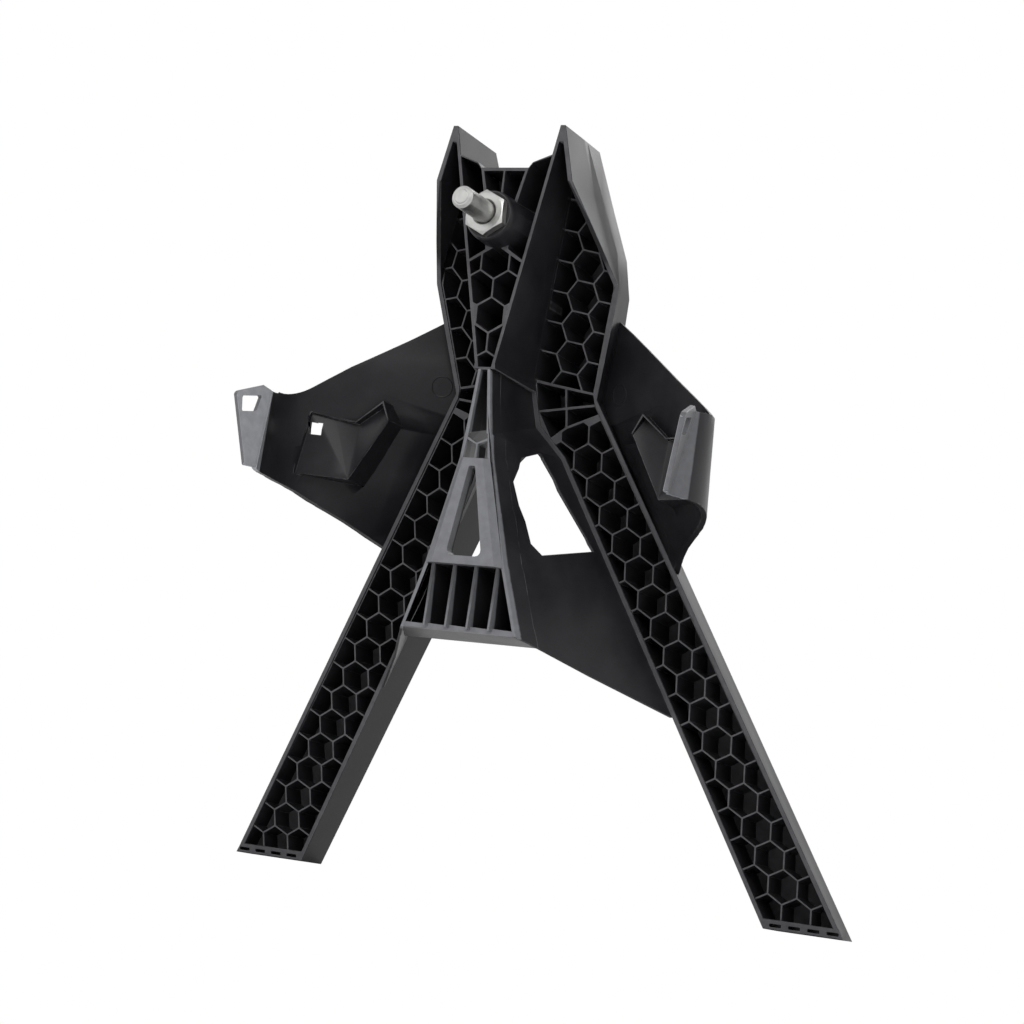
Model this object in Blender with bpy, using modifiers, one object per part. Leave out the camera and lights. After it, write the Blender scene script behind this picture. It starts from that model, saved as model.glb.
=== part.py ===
"""Bike stand: a moulded A frame with honeycomb legs that bolts to the rear axle of a bicycle.

Metres, +Z up, floor at z = 0, the honeycomb side faces -Y and the frame is symmetric about x = 0.
Depths along Y are measured from a plane just behind the front face of the axle nut, and one empty
moves the whole stand so that the middle of its depth lies at y = 0.
"""

import math

import bmesh
import bpy
from mathutils import Matrix, Vector

# Clearance left between pieces that touch
FIT = 0.0003

# Height of the axle, and the levels of the frame's outline as steps from one to the next
AXLE_Z = 0.3414
TIP_RISE = 0.0510
KINK_DROP = 0.0291
CHEEK_DROP = 0.0042
SHOULDER_DROP = 0.0234
WAIST_DROP = 0.0799
NARROW_RISE = 0.0035
CROTCH_DROP = 0.0315
TIP_Z = AXLE_Z + TIP_RISE
KINK_Z = TIP_Z - KINK_DROP
CHEEK_Z = AXLE_Z - CHEEK_DROP
SHOULDER_Z = AXLE_Z - SHOULDER_DROP
WAIST_Z = AXLE_Z - WAIST_DROP
NARROW_Z = WAIST_Z + NARROW_RISE
CROTCH_Z = WAIST_Z - CROTCH_DROP

# Half widths of the frame's front outline, from the middle plane
TIP_INNER_X = 0.0303
TIP_WIDTH = 0.0030
KINK_X = 0.0403
CHEEK_X = 0.0492
SHOULDER_X = 0.0552
WAIST_X = 0.0428
NARROW_X = 0.0036
CROTCH_X = 0.0220
STEM_SHARE = 0.16
FOOT_INNER_X = 0.1432
FOOT_WIDTH = 0.0449

# Depth planes: how far back each one lies at the floor, and how it leans
LEG_FRONT_Y = 0.1554
LEG_LEAN = math.radians(17.6)
FOOT_BACK_Y = 0.1780
BACK_LEAN = math.radians(20.2)
BACK_SKEW = math.radians(10.0)
KEEL_FRONT_Y = 0.0507
KEEL_LEAN = math.radians(6.1)

# How far the outer wall is drawn in, at the crease that runs down it and at its back
CREASE_SHARE = 0.27
CREASE_DRAFT = {"waist": 0.0009, "shoulder": 0.0013, "cheek": -0.0020, "kink": -0.0022, "tip": 0.0003}
BACK_DRAFT = {"waist": 0.0034, "shoulder": 0.0042, "cheek": -0.0004, "kink": -0.0011, "tip": 0.0006}

# Walls and ribs
WALL = 0.0026
PRONG_WALL = 0.0018
RIB = 0.0011
SKIN = 0.0024
SOLE = 0.0053
TIP_SOLID = 0.0085
RIB_RECESS = 0.0008

# Honeycomb
CELL_SIDE = 0.0095
LEG_CELL_X = 0.1149
LEG_CELL_DROP = 0.1697
LEG_CELL_TURN = math.radians(-1.9)
PRONG_CELL_X = 0.0366
PRONG_CELL_DROP = 0.0127
PRONG_CELL_TURN = math.radians(19.3)
BRIDGE_CELL_DROP = 0.0207
LEAST_CELL = 0.14

# Straight ribs that cross the waist
WAIST_RIB_TOP = 0.0088
WAIST_RIB_LOW = 0.0026
WAIST_RIB_DROP = 0.0075
WAIST_SPLIT_X = 0.0245
WAIST_RIB_OUTER = 0.0025
COLLAR_DROP = 0.0149
COLLAR_INNER_DROP = 0.0225
COLLAR_OUTER_DROP = 0.0068

# Slots moulded into the front of the soles, above a thin lip
SOLE_SLOTS = 4
SLOT_PITCH = 0.0112
SLOT_WIDTH = 0.0070
SLOT_LIP = 0.0014
SLOT_HEIGHT = 0.0018
SLOT_DEPTH = 0.0050
SLOT_SHIFT = 0.0014

# Middle spine with its webs, frame window and grille
WEB = 0.0018
SPINE_MID_DROP = 0.0130
GRILLE_TOP_DROP = 0.0555
SPINE_FOOT_DROP = 0.0317
WEB_EDGE_DROP = 0.0278
SPINE_MID_Z = CROTCH_Z - SPINE_MID_DROP
GRILLE_TOP_Z = SPINE_MID_Z - GRILLE_TOP_DROP
SPINE_FOOT_Z = GRILLE_TOP_Z - SPINE_FOOT_DROP
WEB_EDGE_Z = SPINE_FOOT_Z - WEB_EDGE_DROP
SPINE_MID_X = 0.0092
GRILLE_TOP_X = 0.0234
SPINE_FOOT_X = 0.0334
FRAME_PROUD = 0.0025
FRAME_DEPTH = 0.0070
FRAME_TOP_X = 0.0060
FRAME_FOOT_X = 0.0189
OPENING_TOP_DROP = 0.0042
OPENING_TOP_X = 0.0018
OPENING_FOOT_RISE = 0.0045
OPENING_FOOT_X = 0.0106
OPENING_CORNER = 0.0030
SLATS = 4
SLAT = 0.0015
SLAT_PITCH = 0.0127
GRILLE_DEPTH = 0.0440
GRILLE_PLATE = 0.0026
KEEL_POST = 0.0120
FORK_LIFT = 0.0080
FORK_RISE = 0.0030
FORK_DEPTH = 0.0100

# Window in each web: depths behind the keel's front edge, and drops below the crotch
WINDOW_FRONT = 0.0052
WINDOW_BACK_TOP = 0.0247
WINDOW_BACK_FOOT = 0.0492
WINDOW_TOP_DROP = 0.0010
WINDOW_FRONT_DROP = 0.0210
WINDOW_FOOT_DROP = 0.0564
WINDOW_TOP_TILT = 0.0055
WINDOW_TOP_IN = 0.0080
WINDOW_FOOT_TILT = 0.0095
WINDOW_FOOT_IN = 0.0156
WINDOW_CORNER_DEPTH = 0.0072
WINDOW_CORNER_RISE = 0.0047
WINDOW_BACK_CORNER = 0.0030
WINDOW_BACK_FALL = 0.0014

# Axle bridge between the prongs
BRIDGE_DEPTH = 0.0340
BRIDGE_TOP_DROP = 0.0223
STEP_RISE = 0.0029
SHELF_RISE = 0.0042
BRIDGE_TOP_Z = TIP_Z - BRIDGE_TOP_DROP
STEP_Z = BRIDGE_TOP_Z + STEP_RISE
SHELF_Z = STEP_Z + SHELF_RISE
NOTCH_X = 0.0140
STEP_X = 0.0163
BRIDGE_RIM = 0.0018
SHELF_RIM = 0.0008
BOX_FOOT_X = 0.0085
BOX_FOOT_RISE = 0.0063
BOX_POCKET_DEPTH = 0.0175
YOKE_DROP = 0.0114
YOKE_SLOPE = 0.60
YOKE_RIB = 0.0016
BOSS_FACE_RADIUS = 0.0133
BOSS_ROUND = 0.0008
BOSS_ROUND_DEPTH = 0.0030
BOSS_ROOT = 0.0152

# Axle hardware
AXLE_RADIUS = 0.0060
AXLE_REACH = 0.0259
AXLE_CHAMFER = 0.0013
AXLE_END_RADIUS = 0.0040
AXLE_END_RISE = 0.0005
AXLE_BORE_CLEARANCE = 0.0003
NUT_FLATS = 0.0213
NUT_THICK = 0.0050
NUT_FRONT = 0.0035
NUT_TURN = math.radians(3.5)
NUT_CHAMFER_RADIUS = 0.0103
NUT_CHAMFER_ANGLE = math.radians(30.0)
NUT_MOUTH = 0.0009
WASHER_RADIUS = 0.0120
WASHER_THICK = 0.0016
HEAD_FLATS = 0.0190
HEAD_THICK = 0.0075

# Wings: a sheet that leaves the leg and curls forward into a trough, heights as drops below the waist
WING_THICK = 0.0028
TROUGH_LOW_DROP = 0.0615
TROUGH_HIGH_DROP = 0.0015
TROUGH_LOW_X = 0.0840
TROUGH_HIGH_X = 0.1089
TROUGH_LOW_Y = 0.0302
TROUGH_HIGH_Y = 0.0269
TROUGH_LOW_RADIUS = 0.0440
TROUGH_HIGH_RADIUS = 0.0190
TROUGH_LOW_END = math.radians(-32.3)
TROUGH_HIGH_END = math.radians(-26.8)
TROUGH_TOP_SHARE = 1.15
WING_TOP_DROP = 0.0014
WING_TOP_X = 0.1098
WING_TOP_RISE = 0.745
WING_END_DROP = 0.0150
WING_END_X = 0.1275
WING_FOOT_DROP = 0.0860
LIP_TOP_DROP = 0.0162
LIP_LOW_DROP = 0.0603
WING_LEVELS = 14
PANEL_STEPS = 3
TROUGH_STEPS = 12
TROUGH_LOW_Z = WAIST_Z - TROUGH_LOW_DROP
TROUGH_HIGH_Z = WAIST_Z - TROUGH_HIGH_DROP
WING_TOP_Z = WAIST_Z - WING_TOP_DROP
WING_END_Z = WAIST_Z - WING_END_DROP
WING_FOOT_Z = WAIST_Z - WING_FOOT_DROP
LIP_TOP_Z = WAIST_Z - LIP_TOP_DROP
LIP_LOW_Z = WAIST_Z - LIP_LOW_DROP

# Root of the wing: height above the waist, and how far it lies behind the front of the leg
WING_ROOT = [(-0.0895, 0.0071), (-0.0210, 0.0078), (0.0, 0.0135), (0.0255, 0.0165), (0.0400, 0.0165)]

# Lower edge of the wing: depth, and drop below the lip
WING_UNDER = [(0.0280, 0.0003), (0.0430, 0.0020), (0.0520, 0.0040), (0.0700, 0.0115), (0.0900, 0.0200)]

# Square hole through the trough, and the flange with its strap hole
HOLE_DROP = 0.0283
HOLE_X = 0.1150
HOLE_SIZE = 0.0068
FLANGE_THICK = 0.0026
FLANGE_TOP_OUT = 0.0058
FLANGE_TOP_REACH = 0.0250
FLANGE_TOP_DROP = 0.0060
FLANGE_LOW_OUT = 0.0021
FLANGE_LOW_REACH = 0.0075
FLANGE_LOW_DROP = 0.0007
FLANGE_CORNER = 0.0022
FLANGE_CREST_OUT = 0.0070
FLANGE_CREST_RISE = 0.0032
STRAP_TOP = 0.0030
STRAP_LOW = 0.0125
STRAP_SIDE = 0.0055
STRAP_FOLD = 0.0066
STRAP_TAPER = 0.0018
STRAP_CORNER = 0.0012

# Raised pocket of the wing: x, depth and drop below the waist of its rim, and how far its face is sunk there
POCKET_WALL = 0.0020
POCKET_LIP = 0.0009
POCKET_PAST = 0.0140
POCKET_RIM = [
    (0.0935, 0.0575, 0.0547, 0.0),
    (0.1085, 0.0590, 0.0545, 0.0),
    (0.1220, 0.0500, 0.0540, 0.0),
    (0.1165, 0.0500, 0.0190, 0.0),
    (0.1060, 0.0555, 0.0205, 0.0012),
    (0.0932, 0.0565, 0.0217, 0.0040),
    (0.0780, 0.0565, 0.0095, 0.0055),
    (0.0731, 0.0570, 0.0201, 0.0004),
]

# Bounds that lie past the whole stand, and how bent a face may be before it is split
FAR = 0.3
FLAT = 1e-7
FRAME_NAME = "bike_stand"


def front_of_leg(z):
    """Depth of the honeycomb face of the legs at a height."""
    return LEG_FRONT_Y - math.tan(LEG_LEAN) * z


def back_of_leg(x, z):
    """Depth of the closed back of the legs and prongs."""
    return FOOT_BACK_Y - math.tan(BACK_SKEW) * (abs(x) - FOOT_INNER_X) - math.tan(BACK_LEAN) * z


def front_of_keel(z):
    """Depth of the front edges of the spine and of the prongs' inner walls."""
    return KEEL_FRONT_Y - math.tan(KEEL_LEAN) * z


def along(a, b, share):
    """Value a share of the way from a to b."""
    return a + (b - a) * share


def on_line(p, q, z):
    """x on the straight line through two (x, z) points, at a height."""
    return along(p[0], q[0], (z - p[1]) / (q[1] - p[1]))


FOOT_OUTER_X = FOOT_INNER_X + FOOT_WIDTH
FOOT_INNER = (FOOT_INNER_X, 0.0)
FOOT_OUTER = (FOOT_OUTER_X, 0.0)
CROTCH = (CROTCH_X, CROTCH_Z)
NARROW = (NARROW_X, NARROW_Z)
TIP_INNER = (TIP_INNER_X, TIP_Z)
TIP_OUTER = (TIP_INNER_X + TIP_WIDTH, TIP_Z)
KINK = (KINK_X, KINK_Z)
CHEEK = (CHEEK_X, CHEEK_Z)
SHOULDER = (SHOULDER_X, SHOULDER_Z)
WAIST = (WAIST_X, WAIST_Z)
STEM_Z = WAIST_Z - 0.5 * (WAIST_Z - CROTCH_Z)
STEM = (along(NARROW_X, CROTCH_X, STEM_SHARE), STEM_Z)

# Frame outline of the right side in (x, z), counter-clockwise seen from the front
SIDE_OUTLINE = [FOOT_INNER, FOOT_OUTER, WAIST, SHOULDER, CHEEK, KINK]
SIDE_OUTLINE += [TIP_OUTER, TIP_INNER, NARROW, STEM, CROTCH]
SIDE_WALLS = [SOLE, WALL, WALL, WALL, WALL, WALL, TIP_SOLID, PRONG_WALL, WALL, WALL, WALL]
LEVELS = [("waist", WAIST_Z), ("shoulder", SHOULDER_Z), ("cheek", CHEEK_Z), ("kink", KINK_Z), ("tip", TIP_Z)]


def outer_x(z):
    """x of the frame's outer wall at a height."""
    corners = [FOOT_OUTER, WAIST, SHOULDER, CHEEK, KINK, TIP_OUTER]
    for low, high in zip(corners, corners[1:]):
        if z < high[1]:
            return on_line(low, high, z)
    return TIP_OUTER[0]


def inner_x(z):
    """x of the prong's inner wall at a height."""
    return on_line(NARROW, TIP_INNER, z)


def rim_x(z):
    """x of the inner front rim of the leg at a height."""
    if z < CROTCH_Z:
        return on_line(FOOT_INNER, CROTCH, z)
    if z < STEM_Z:
        return on_line(CROTCH, STEM, z)
    return on_line(STEM, NARROW, z)


def draft_at(drafts, z):
    """How far the outer wall is drawn in at a height."""
    stations = [(0.0, 0.0)] + [(drafts[name], level) for name, level in LEVELS]
    for low, high in zip(stations, stations[1:]):
        if z < high[1]:
            return max(0.0, on_line(low, high, z)) if z < WAIST_Z else on_line(low, high, z)
    return stations[-1][0]


def drawn_in(points, drafts):
    """An outline of the side beam with its outer edge drawn in."""
    moved = []
    for x, z in points:
        inner = rim_x(z) if z < NARROW_Z else inner_x(z)
        outside = x > 0.5 * (inner + outer_x(z))
        moved.append((x - draft_at(drafts, z) if outside else x, z))
    return moved


def creased(points):
    """Rings of a beam that follows an outline: at the front of the leg, at the crease and at the back."""
    crease = drawn_in(points, CREASE_DRAFT)
    return [
        [(x, front_of_leg(z), z) for x, z in points],
        [(x, along(front_of_leg(z), back_of_leg(x, z), CREASE_SHARE), z) for x, z in crease],
        [(x, back_of_leg(x, z), z) for x, z in drawn_in(points, BACK_DRAFT)],
    ]


def inset(points, distances):
    """A closed (x, z) outline with each edge moved inwards by its own distance."""
    lines = []
    count = len(points)
    for index in range(count):
        a = Vector(points[index])
        b = Vector(points[(index + 1) % count])
        run = (b - a).normalized()
        normal = Vector((-run.y, run.x))
        lines.append((a + normal * distances[index], run))
    moved = []
    for index in range(count):
        point, run = lines[index - 1]
        other, turn = lines[index]
        cross = run.x * turn.y - run.y * turn.x
        gap = other - point
        share = (gap.x * turn.y - gap.y * turn.x) / cross
        moved.append(tuple(point + run * share))
    return moved


def filleted(points, radius, steps=3):
    """A closed (x, z) outline whose corners are turned into arcs."""
    made = []
    for index, corner in enumerate(points):
        before = (Vector(points[index - 1]) - Vector(corner)).normalized()
        after = (Vector(points[(index + 1) % len(points)]) - Vector(corner)).normalized()
        half = 0.5 * before.angle(after)
        middle = Vector(corner) + (before + after).normalized() * (radius / math.sin(half))
        start = Vector(corner) + before * (radius / math.tan(half)) - middle
        end = Vector(corner) + after * (radius / math.tan(half)) - middle
        sweep = start.angle_signed(end)
        for step in range(steps + 1):
            turn = -sweep * step / steps
            spoke = Vector((start.x * math.cos(turn) - start.y * math.sin(turn),
                            start.x * math.sin(turn) + start.y * math.cos(turn)))
            made.append(tuple(middle + spoke))
    return made


def inside(points, x, z):
    """Whether an (x, z) point lies within a closed outline."""
    found = False
    for index, (x1, z1) in enumerate(points):
        x0, z0 = points[index - 1]
        if (z0 > z) != (z1 > z) and x < (x1 - x0) * (z - z0) / (z1 - z0) + x0:
            found = not found
    return found


def clear_scene():
    """Removes what the scene holds."""
    for old in list(bpy.data.objects):
        bpy.data.objects.remove(old, do_unlink=True)


def new_collection(name):
    """A collection linked to the scene."""
    made = bpy.data.collections.new(name)
    bpy.context.scene.collection.children.link(made)
    return made


clear_scene()
PARTS = new_collection(FRAME_NAME)
CUTTERS = new_collection("cutters")
CUTTERS.hide_render = True
ORIGIN = bpy.data.objects.new("stand_origin", None)
PARTS.objects.link(ORIGIN)
ORIGIN.location = (0.0, -0.5 * (FOOT_BACK_Y - NUT_FRONT - AXLE_REACH), 0.0)


def object_of(mesh_data, name):
    """An object made from a bmesh, with its faces turned outwards."""
    bmesh.ops.recalc_face_normals(mesh_data, faces=mesh_data.faces)
    mesh = bpy.data.meshes.new(name)
    mesh_data.to_mesh(mesh)
    mesh_data.free()
    made = bpy.data.objects.new(name, mesh)
    made.display_type = "WIRE"
    CUTTERS.objects.link(made)
    return made


def fan(shape, row):
    """Closes a ring that isn't flat with triangles about its first point."""
    for near, far in zip(row[1:], row[2:]):
        shape.faces.new((row[0], near, far))


def loft(name, rings, fanned=False):
    """A closed solid through rings of equally many points."""
    shape = bmesh.new()
    rows = [[shape.verts.new(point) for point in ring] for ring in rings]
    count = len(rows[0])
    for low, high in zip(rows, rows[1:]):
        for index in range(count):
            after = (index + 1) % count
            shape.faces.new((low[index], low[after], high[after], high[index]))
    for row in (rows[0], rows[-1]):
        if fanned:
            fan(shape, row)
        else:
            shape.faces.new(row)
    shape.normal_update()
    bent = []
    for face in shape.faces:
        middle = face.calc_center_median()
        if max(abs((vert.co - middle).dot(face.normal)) for vert in face.verts) > FLAT:
            bent.append(face)
    bmesh.ops.triangulate(shape, faces=bent)
    return object_of(shape, name)


def plate(name, outline, front, back):
    """An (x, z) outline run along Y between two depth functions of x and z."""
    near = [(x, front(x, z), z) for x, z in outline]
    far = [(x, back(x, z), z) for x, z in outline]
    return loft(name, [near, far])


def side_plate(name, outline, x0, x1):
    """A (y, z) outline run along X."""
    return loft(name, [[(x, y, z) for y, z in outline] for x in (x0, x1)])


def block(name, low, high):
    """A box between two corners."""
    shape = bmesh.new()
    bmesh.ops.create_cube(shape, size=1.0)
    size = Vector(high) - Vector(low)
    middle = (Vector(high) + Vector(low)) / 2
    matrix = Matrix.Translation(middle) @ Matrix.Diagonal(size.to_4d())
    bmesh.ops.transform(shape, matrix=matrix, verts=shape.verts)
    return object_of(shape, name)


def turned(name, stations, segments, turn=0.0):
    """A solid of revolution about the axle, through (y, radius) stations."""
    rings = []
    for y, radius in stations:
        ring = []
        for index in range(segments):
            angle = turn + 2 * math.pi * index / segments
            ring.append((radius * math.cos(angle), y, AXLE_Z + radius * math.sin(angle)))
        rings.append(ring)
    return loft(name, rings)


def joined(name, solids):
    """One object that holds several separate solids."""
    shape = bmesh.new()
    for solid in solids:
        shape.from_mesh(solid.data)
        bpy.data.objects.remove(solid, do_unlink=True)
    return object_of(shape, name)


def combine(target, tool, operation):
    """Applies a Boolean to the target and removes the tool."""
    modifier = target.modifiers.new(operation.lower(), "BOOLEAN")
    modifier.operation = operation
    modifier.object = tool
    modifier.solver = "EXACT"
    bpy.context.view_layer.update()
    graph = bpy.context.evaluated_depsgraph_get()
    result = bpy.data.meshes.new_from_object(target.evaluated_get(graph))
    target.modifiers.clear()
    target.data = result
    shape = bmesh.new()
    shape.from_mesh(result)
    bmesh.ops.remove_doubles(shape, verts=shape.verts, dist=1e-6)
    bmesh.ops.dissolve_degenerate(shape, edges=shape.edges, dist=1e-6)
    shape.to_mesh(result)
    shape.free()
    bpy.data.objects.remove(tool, do_unlink=True)
    return target


def cut(target, tool):
    """Takes the tool away from the target."""
    return combine(target, tool, "DIFFERENCE")


def add(target, tool):
    """Joins the tool to the target."""
    return combine(target, tool, "UNION")


def keep(target, tool):
    """Keeps what the target shares with the tool."""
    return combine(target, tool, "INTERSECT")


def mirrored(source, name):
    """The same piece for the other side of the frame."""
    made = source.copy()
    made.data = source.data.copy()
    made.name = name
    made.data.transform(Matrix.Diagonal((-1.0, 1.0, 1.0, 1.0)))
    made.data.flip_normals()
    CUTTERS.objects.link(made)
    return made


def material(name, colour, roughness, metallic):
    """A plain Principled material."""
    made = bpy.data.materials.new(name)
    made.use_nodes = True
    shader = made.node_tree.nodes["Principled BSDF"]
    shader.inputs["Base Color"].default_value = (*colour, 1.0)
    shader.inputs["Roughness"].default_value = roughness
    shader.inputs["Metallic"].default_value = metallic
    return made


def finish(piece, name, look):
    """Names a piece, gives it its material and hangs it from the origin empty."""
    piece.name = name
    piece.data.name = name
    piece.data.materials.clear()
    piece.data.materials.append(look)
    CUTTERS.objects.unlink(piece)
    PARTS.objects.link(piece)
    piece.display_type = "TEXTURED"
    piece.parent = ORIGIN
    return piece


def hexagon(x, z, side, turn, squash):
    """Corners of one cell in (x, z), its height squashed by the lean of its face."""
    corners = []
    for index in range(6):
        angle = turn + math.radians(30 + 60 * index)
        corners.append((x + side * math.cos(angle), z + squash * side * math.sin(angle)))
    return corners


def lattice(centre, turn, squash, reach):
    """Centres of a honeycomb about one cell, as far as reach."""
    pitch = math.sqrt(3) * CELL_SIDE
    steps = int(reach / pitch) + 2
    for row in range(-steps, steps + 1):
        for column in range(-steps, steps + 1):
            u = pitch * (column + 0.5 * (row % 2))
            v = 1.5 * CELL_SIDE * row
            x = centre[0] + u * math.cos(turn) - v * math.sin(turn)
            z = centre[1] + squash * (u * math.sin(turn) + v * math.cos(turn))
            yield x, z


def share_inside(corners, region):
    """Rough share of a cell that lies within a region."""
    x = sum(corner[0] for corner in corners) / len(corners)
    z = sum(corner[1] for corner in corners) / len(corners)
    hits = total = 0
    for corner in corners:
        for step in range(1, 9):
            reach = math.sqrt(step / 8)
            total += 1
            hits += inside(region, along(x, corner[0], reach), along(z, corner[1], reach))
    return hits / total


def cell_plates(region, centre, turn, squash, front, back):
    """Honeycomb cutters over a region, before they are clipped to it."""
    side = CELL_SIDE - RIB / math.sqrt(3)
    reach = max(max(abs(x - centre[0]), abs(z - centre[1])) for x, z in region)
    solids = []
    for x, z in lattice(centre, turn, squash, reach):
        if share_inside(hexagon(x, z, side, turn, squash), region) >= LEAST_CELL:
            solids.append(plate("cell", hexagon(x, z, side, turn, squash), front, back))
    return joined("cells", solids)


def cells(region, centre, turn, squash, front, back):
    """Honeycomb cutters clipped to a region of the side beam."""
    return keep(cell_plates(region, centre, turn, squash, front, back), beam_prism("region", region))


def beam_prism(name, region):
    """A region of the side beam run from ahead of it to its back, its outer edge drawn in like the beam's."""
    return loft(name, [[(x, -FAR, z) for x, z in region]] + creased(region))


def build_side():
    """Right leg and prong in one honeycomb beam."""
    def face(x, z):
        return front_of_leg(z)

    def before(x, z):
        return front_of_leg(z) - WALL

    def floor(x, z):
        return back_of_leg(x, z) - SKIN

    beam = loft("side", [[(x, front_of_keel(z), z) for x, z in SIDE_OUTLINE]] + creased(SIDE_OUTLINE))
    # The legs' own face starts under the waist; only the prong's inner wall reaches further forward
    leg_top = WAIST_Z + WALL
    leg_face = [(-FAR, -WALL), (front_of_leg(-WALL), -WALL)]
    leg_face += [(front_of_leg(leg_top), leg_top), (-FAR, leg_top)]
    cut(beam, side_plate("leg_face", leg_face, -FAR, FAR))
    # The outer wall falls back from the kink to the shoulder
    scoop = [
        (-FAR, KINK_Z),
        (-FAR, WAIST_Z),
        (front_of_leg(WAIST_Z), WAIST_Z),
        (front_of_leg(SHOULDER_Z), SHOULDER_Z),
        (front_of_keel(KINK_Z), KINK_Z),
    ]
    inner_side = []
    for y, z in scoop:
        middle = 0.5 * (inner_x(z) + on_line(WAIST, KINK, z))
        inner_side.append((middle, y, z))
    outer_side = [(FAR, y, z) for y, z in scoop]
    cut(beam, loft("scoop", [inner_side, outer_side]))
    hollow = inset(SIDE_OUTLINE, SIDE_WALLS)
    cut(beam, plate("recess", hollow, lambda x, z: -FAR, lambda x, z: front_of_leg(z) + RIB_RECESS))

    squash = math.cos(LEG_LEAN)
    half = RIB / 2
    collar_inner = (rim_x(WAIST_Z - COLLAR_INNER_DROP), WAIST_Z - COLLAR_INNER_DROP)
    collar_outer = (outer_x(WAIST_Z - COLLAR_OUTER_DROP), WAIST_Z - COLLAR_OUTER_DROP)
    collar = (WAIST_SPLIT_X, WAIST_Z - COLLAR_DROP)
    leg_region = [FOOT_INNER, FOOT_OUTER, collar_outer, collar, collar_inner, CROTCH]
    leg_region = inset(leg_region, [SOLE, WALL, half, half, WALL, WALL])
    leg_centre = (LEG_CELL_X, WAIST_Z - LEG_CELL_DROP)
    cut(beam, cells(leg_region, leg_centre, LEG_CELL_TURN, squash, before, floor))

    top_left = (NARROW_X, WAIST_Z + WAIST_RIB_TOP)
    top_right = (on_line(WAIST, SHOULDER, WAIST_Z + WAIST_RIB_LOW), WAIST_Z + WAIST_RIB_LOW)
    prong_region = [top_left, top_right, SHOULDER, CHEEK, KINK, TIP_OUTER, TIP_INNER]
    prong_region = inset(prong_region, [half, WALL, WALL, WALL, WALL, TIP_SOLID, PRONG_WALL])
    prong_centre = (PRONG_CELL_X, AXLE_Z - PRONG_CELL_DROP)
    cut(beam, cells(prong_region, prong_centre, PRONG_CELL_TURN, squash, before, floor))

    # Four cells between the straight ribs at the waist
    split_top = (WAIST_SPLIT_X, along(top_left[1], top_right[1], 0.55))
    low_left = (rim_x(WAIST_Z - WAIST_RIB_DROP), WAIST_Z - WAIST_RIB_DROP)
    low_right = (outer_x(WAIST_Z - WAIST_RIB_OUTER), WAIST_Z - WAIST_RIB_OUTER)
    split_mid = (WAIST_SPLIT_X, along(low_left[1], low_right[1], 0.5))
    waist_cells = [
        ([low_left, split_mid, split_top, top_left], [half, half, half, WALL]),
        ([split_mid, low_right, top_right, split_top], [half, WALL, half, half]),
        ([collar_inner, collar, split_mid, low_left], [half, half, half, WALL]),
        ([collar, collar_outer, low_right, split_mid], [half, WALL, half, half]),
    ]
    for outline, edges in waist_cells:
        outline = inset(outline, edges)
        wide = plate("waist_cell", inset(outline, [-WALL] * 4), before, floor)
        cut(beam, keep(wide, beam_prism("cell_region", outline)))

    # Slots in the front of the sole
    middle = 0.5 * (FOOT_INNER_X + FOOT_OUTER_X) + SLOT_SHIFT
    for index in range(SOLE_SLOTS):
        x = middle + (index - 0.5 * (SOLE_SLOTS - 1)) * SLOT_PITCH
        low = (x - SLOT_WIDTH / 2, front_of_leg(0.0) - SLOT_DEPTH, SLOT_LIP)
        high = (x + SLOT_WIDTH / 2, front_of_leg(0.0) + SLOT_DEPTH, SLOT_LIP + SLOT_HEIGHT)
        cut(beam, block("slot", low, high))
    return beam


def spine_front_x(z):
    """Half width of the spine at its front edges."""
    stations = [
        (SPINE_FOOT_X, SPINE_FOOT_Z),
        (GRILLE_TOP_X, GRILLE_TOP_Z),
        (SPINE_MID_X, SPINE_MID_Z),
        (NARROW_X, WAIST_Z),
    ]
    for low, high in zip(stations, stations[1:]):
        if z < high[1]:
            return on_line(low, high, z)
    return NARROW_X


def web_slope(z):
    """How far the webs spread for each metre that they run back, at a height."""
    return (rim_x(z) - spine_front_x(z)) / (front_of_leg(z) - FIT - front_of_keel(z))


def mid_wall_x(z, back):
    """x of the middle of a web's wall, some way behind the spine's front edge."""
    return spine_front_x(z) + web_slope(z) * back - WEB / 2


def spine_shell(name, thinner, ahead, behind):
    """Solid between the two webs, drawn in by a wall and run on past its front and back."""
    levels = [WEB_EDGE_Z - WALL, SPINE_FOOT_Z, GRILLE_TOP_Z, 0.5 * (GRILLE_TOP_Z + SPINE_MID_Z), SPINE_MID_Z]
    levels += [CROTCH_Z, STEM_Z, WAIST_Z + WALL - FIT]
    rings = []
    for z in levels:
        front = front_of_keel(z)
        back = front_of_leg(z) - FIT
        near_x = spine_front_x(z) - web_slope(z) * ahead - thinner
        far_x = rim_x(z) + web_slope(z) * behind - thinner
        near_y = front - ahead
        far_y = back + behind
        rings.append([(-near_x, near_y, z), (near_x, near_y, z), (far_x, far_y, z), (-far_x, far_y, z)])
    return loft(name, rings)


def spine_zone(name, near, far):
    """Slab of space between two distances behind the spine's front edges."""
    low = WEB_EDGE_Z - 2 * WALL
    high = WAIST_Z + 2 * WALL
    outline = [
        (front_of_keel(low) + near, low),
        (front_of_keel(low) + far, low),
        (front_of_keel(high) + far, high),
        (front_of_keel(high) + near, high),
    ]
    return side_plate(name, outline, -FAR, FAR)


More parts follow.
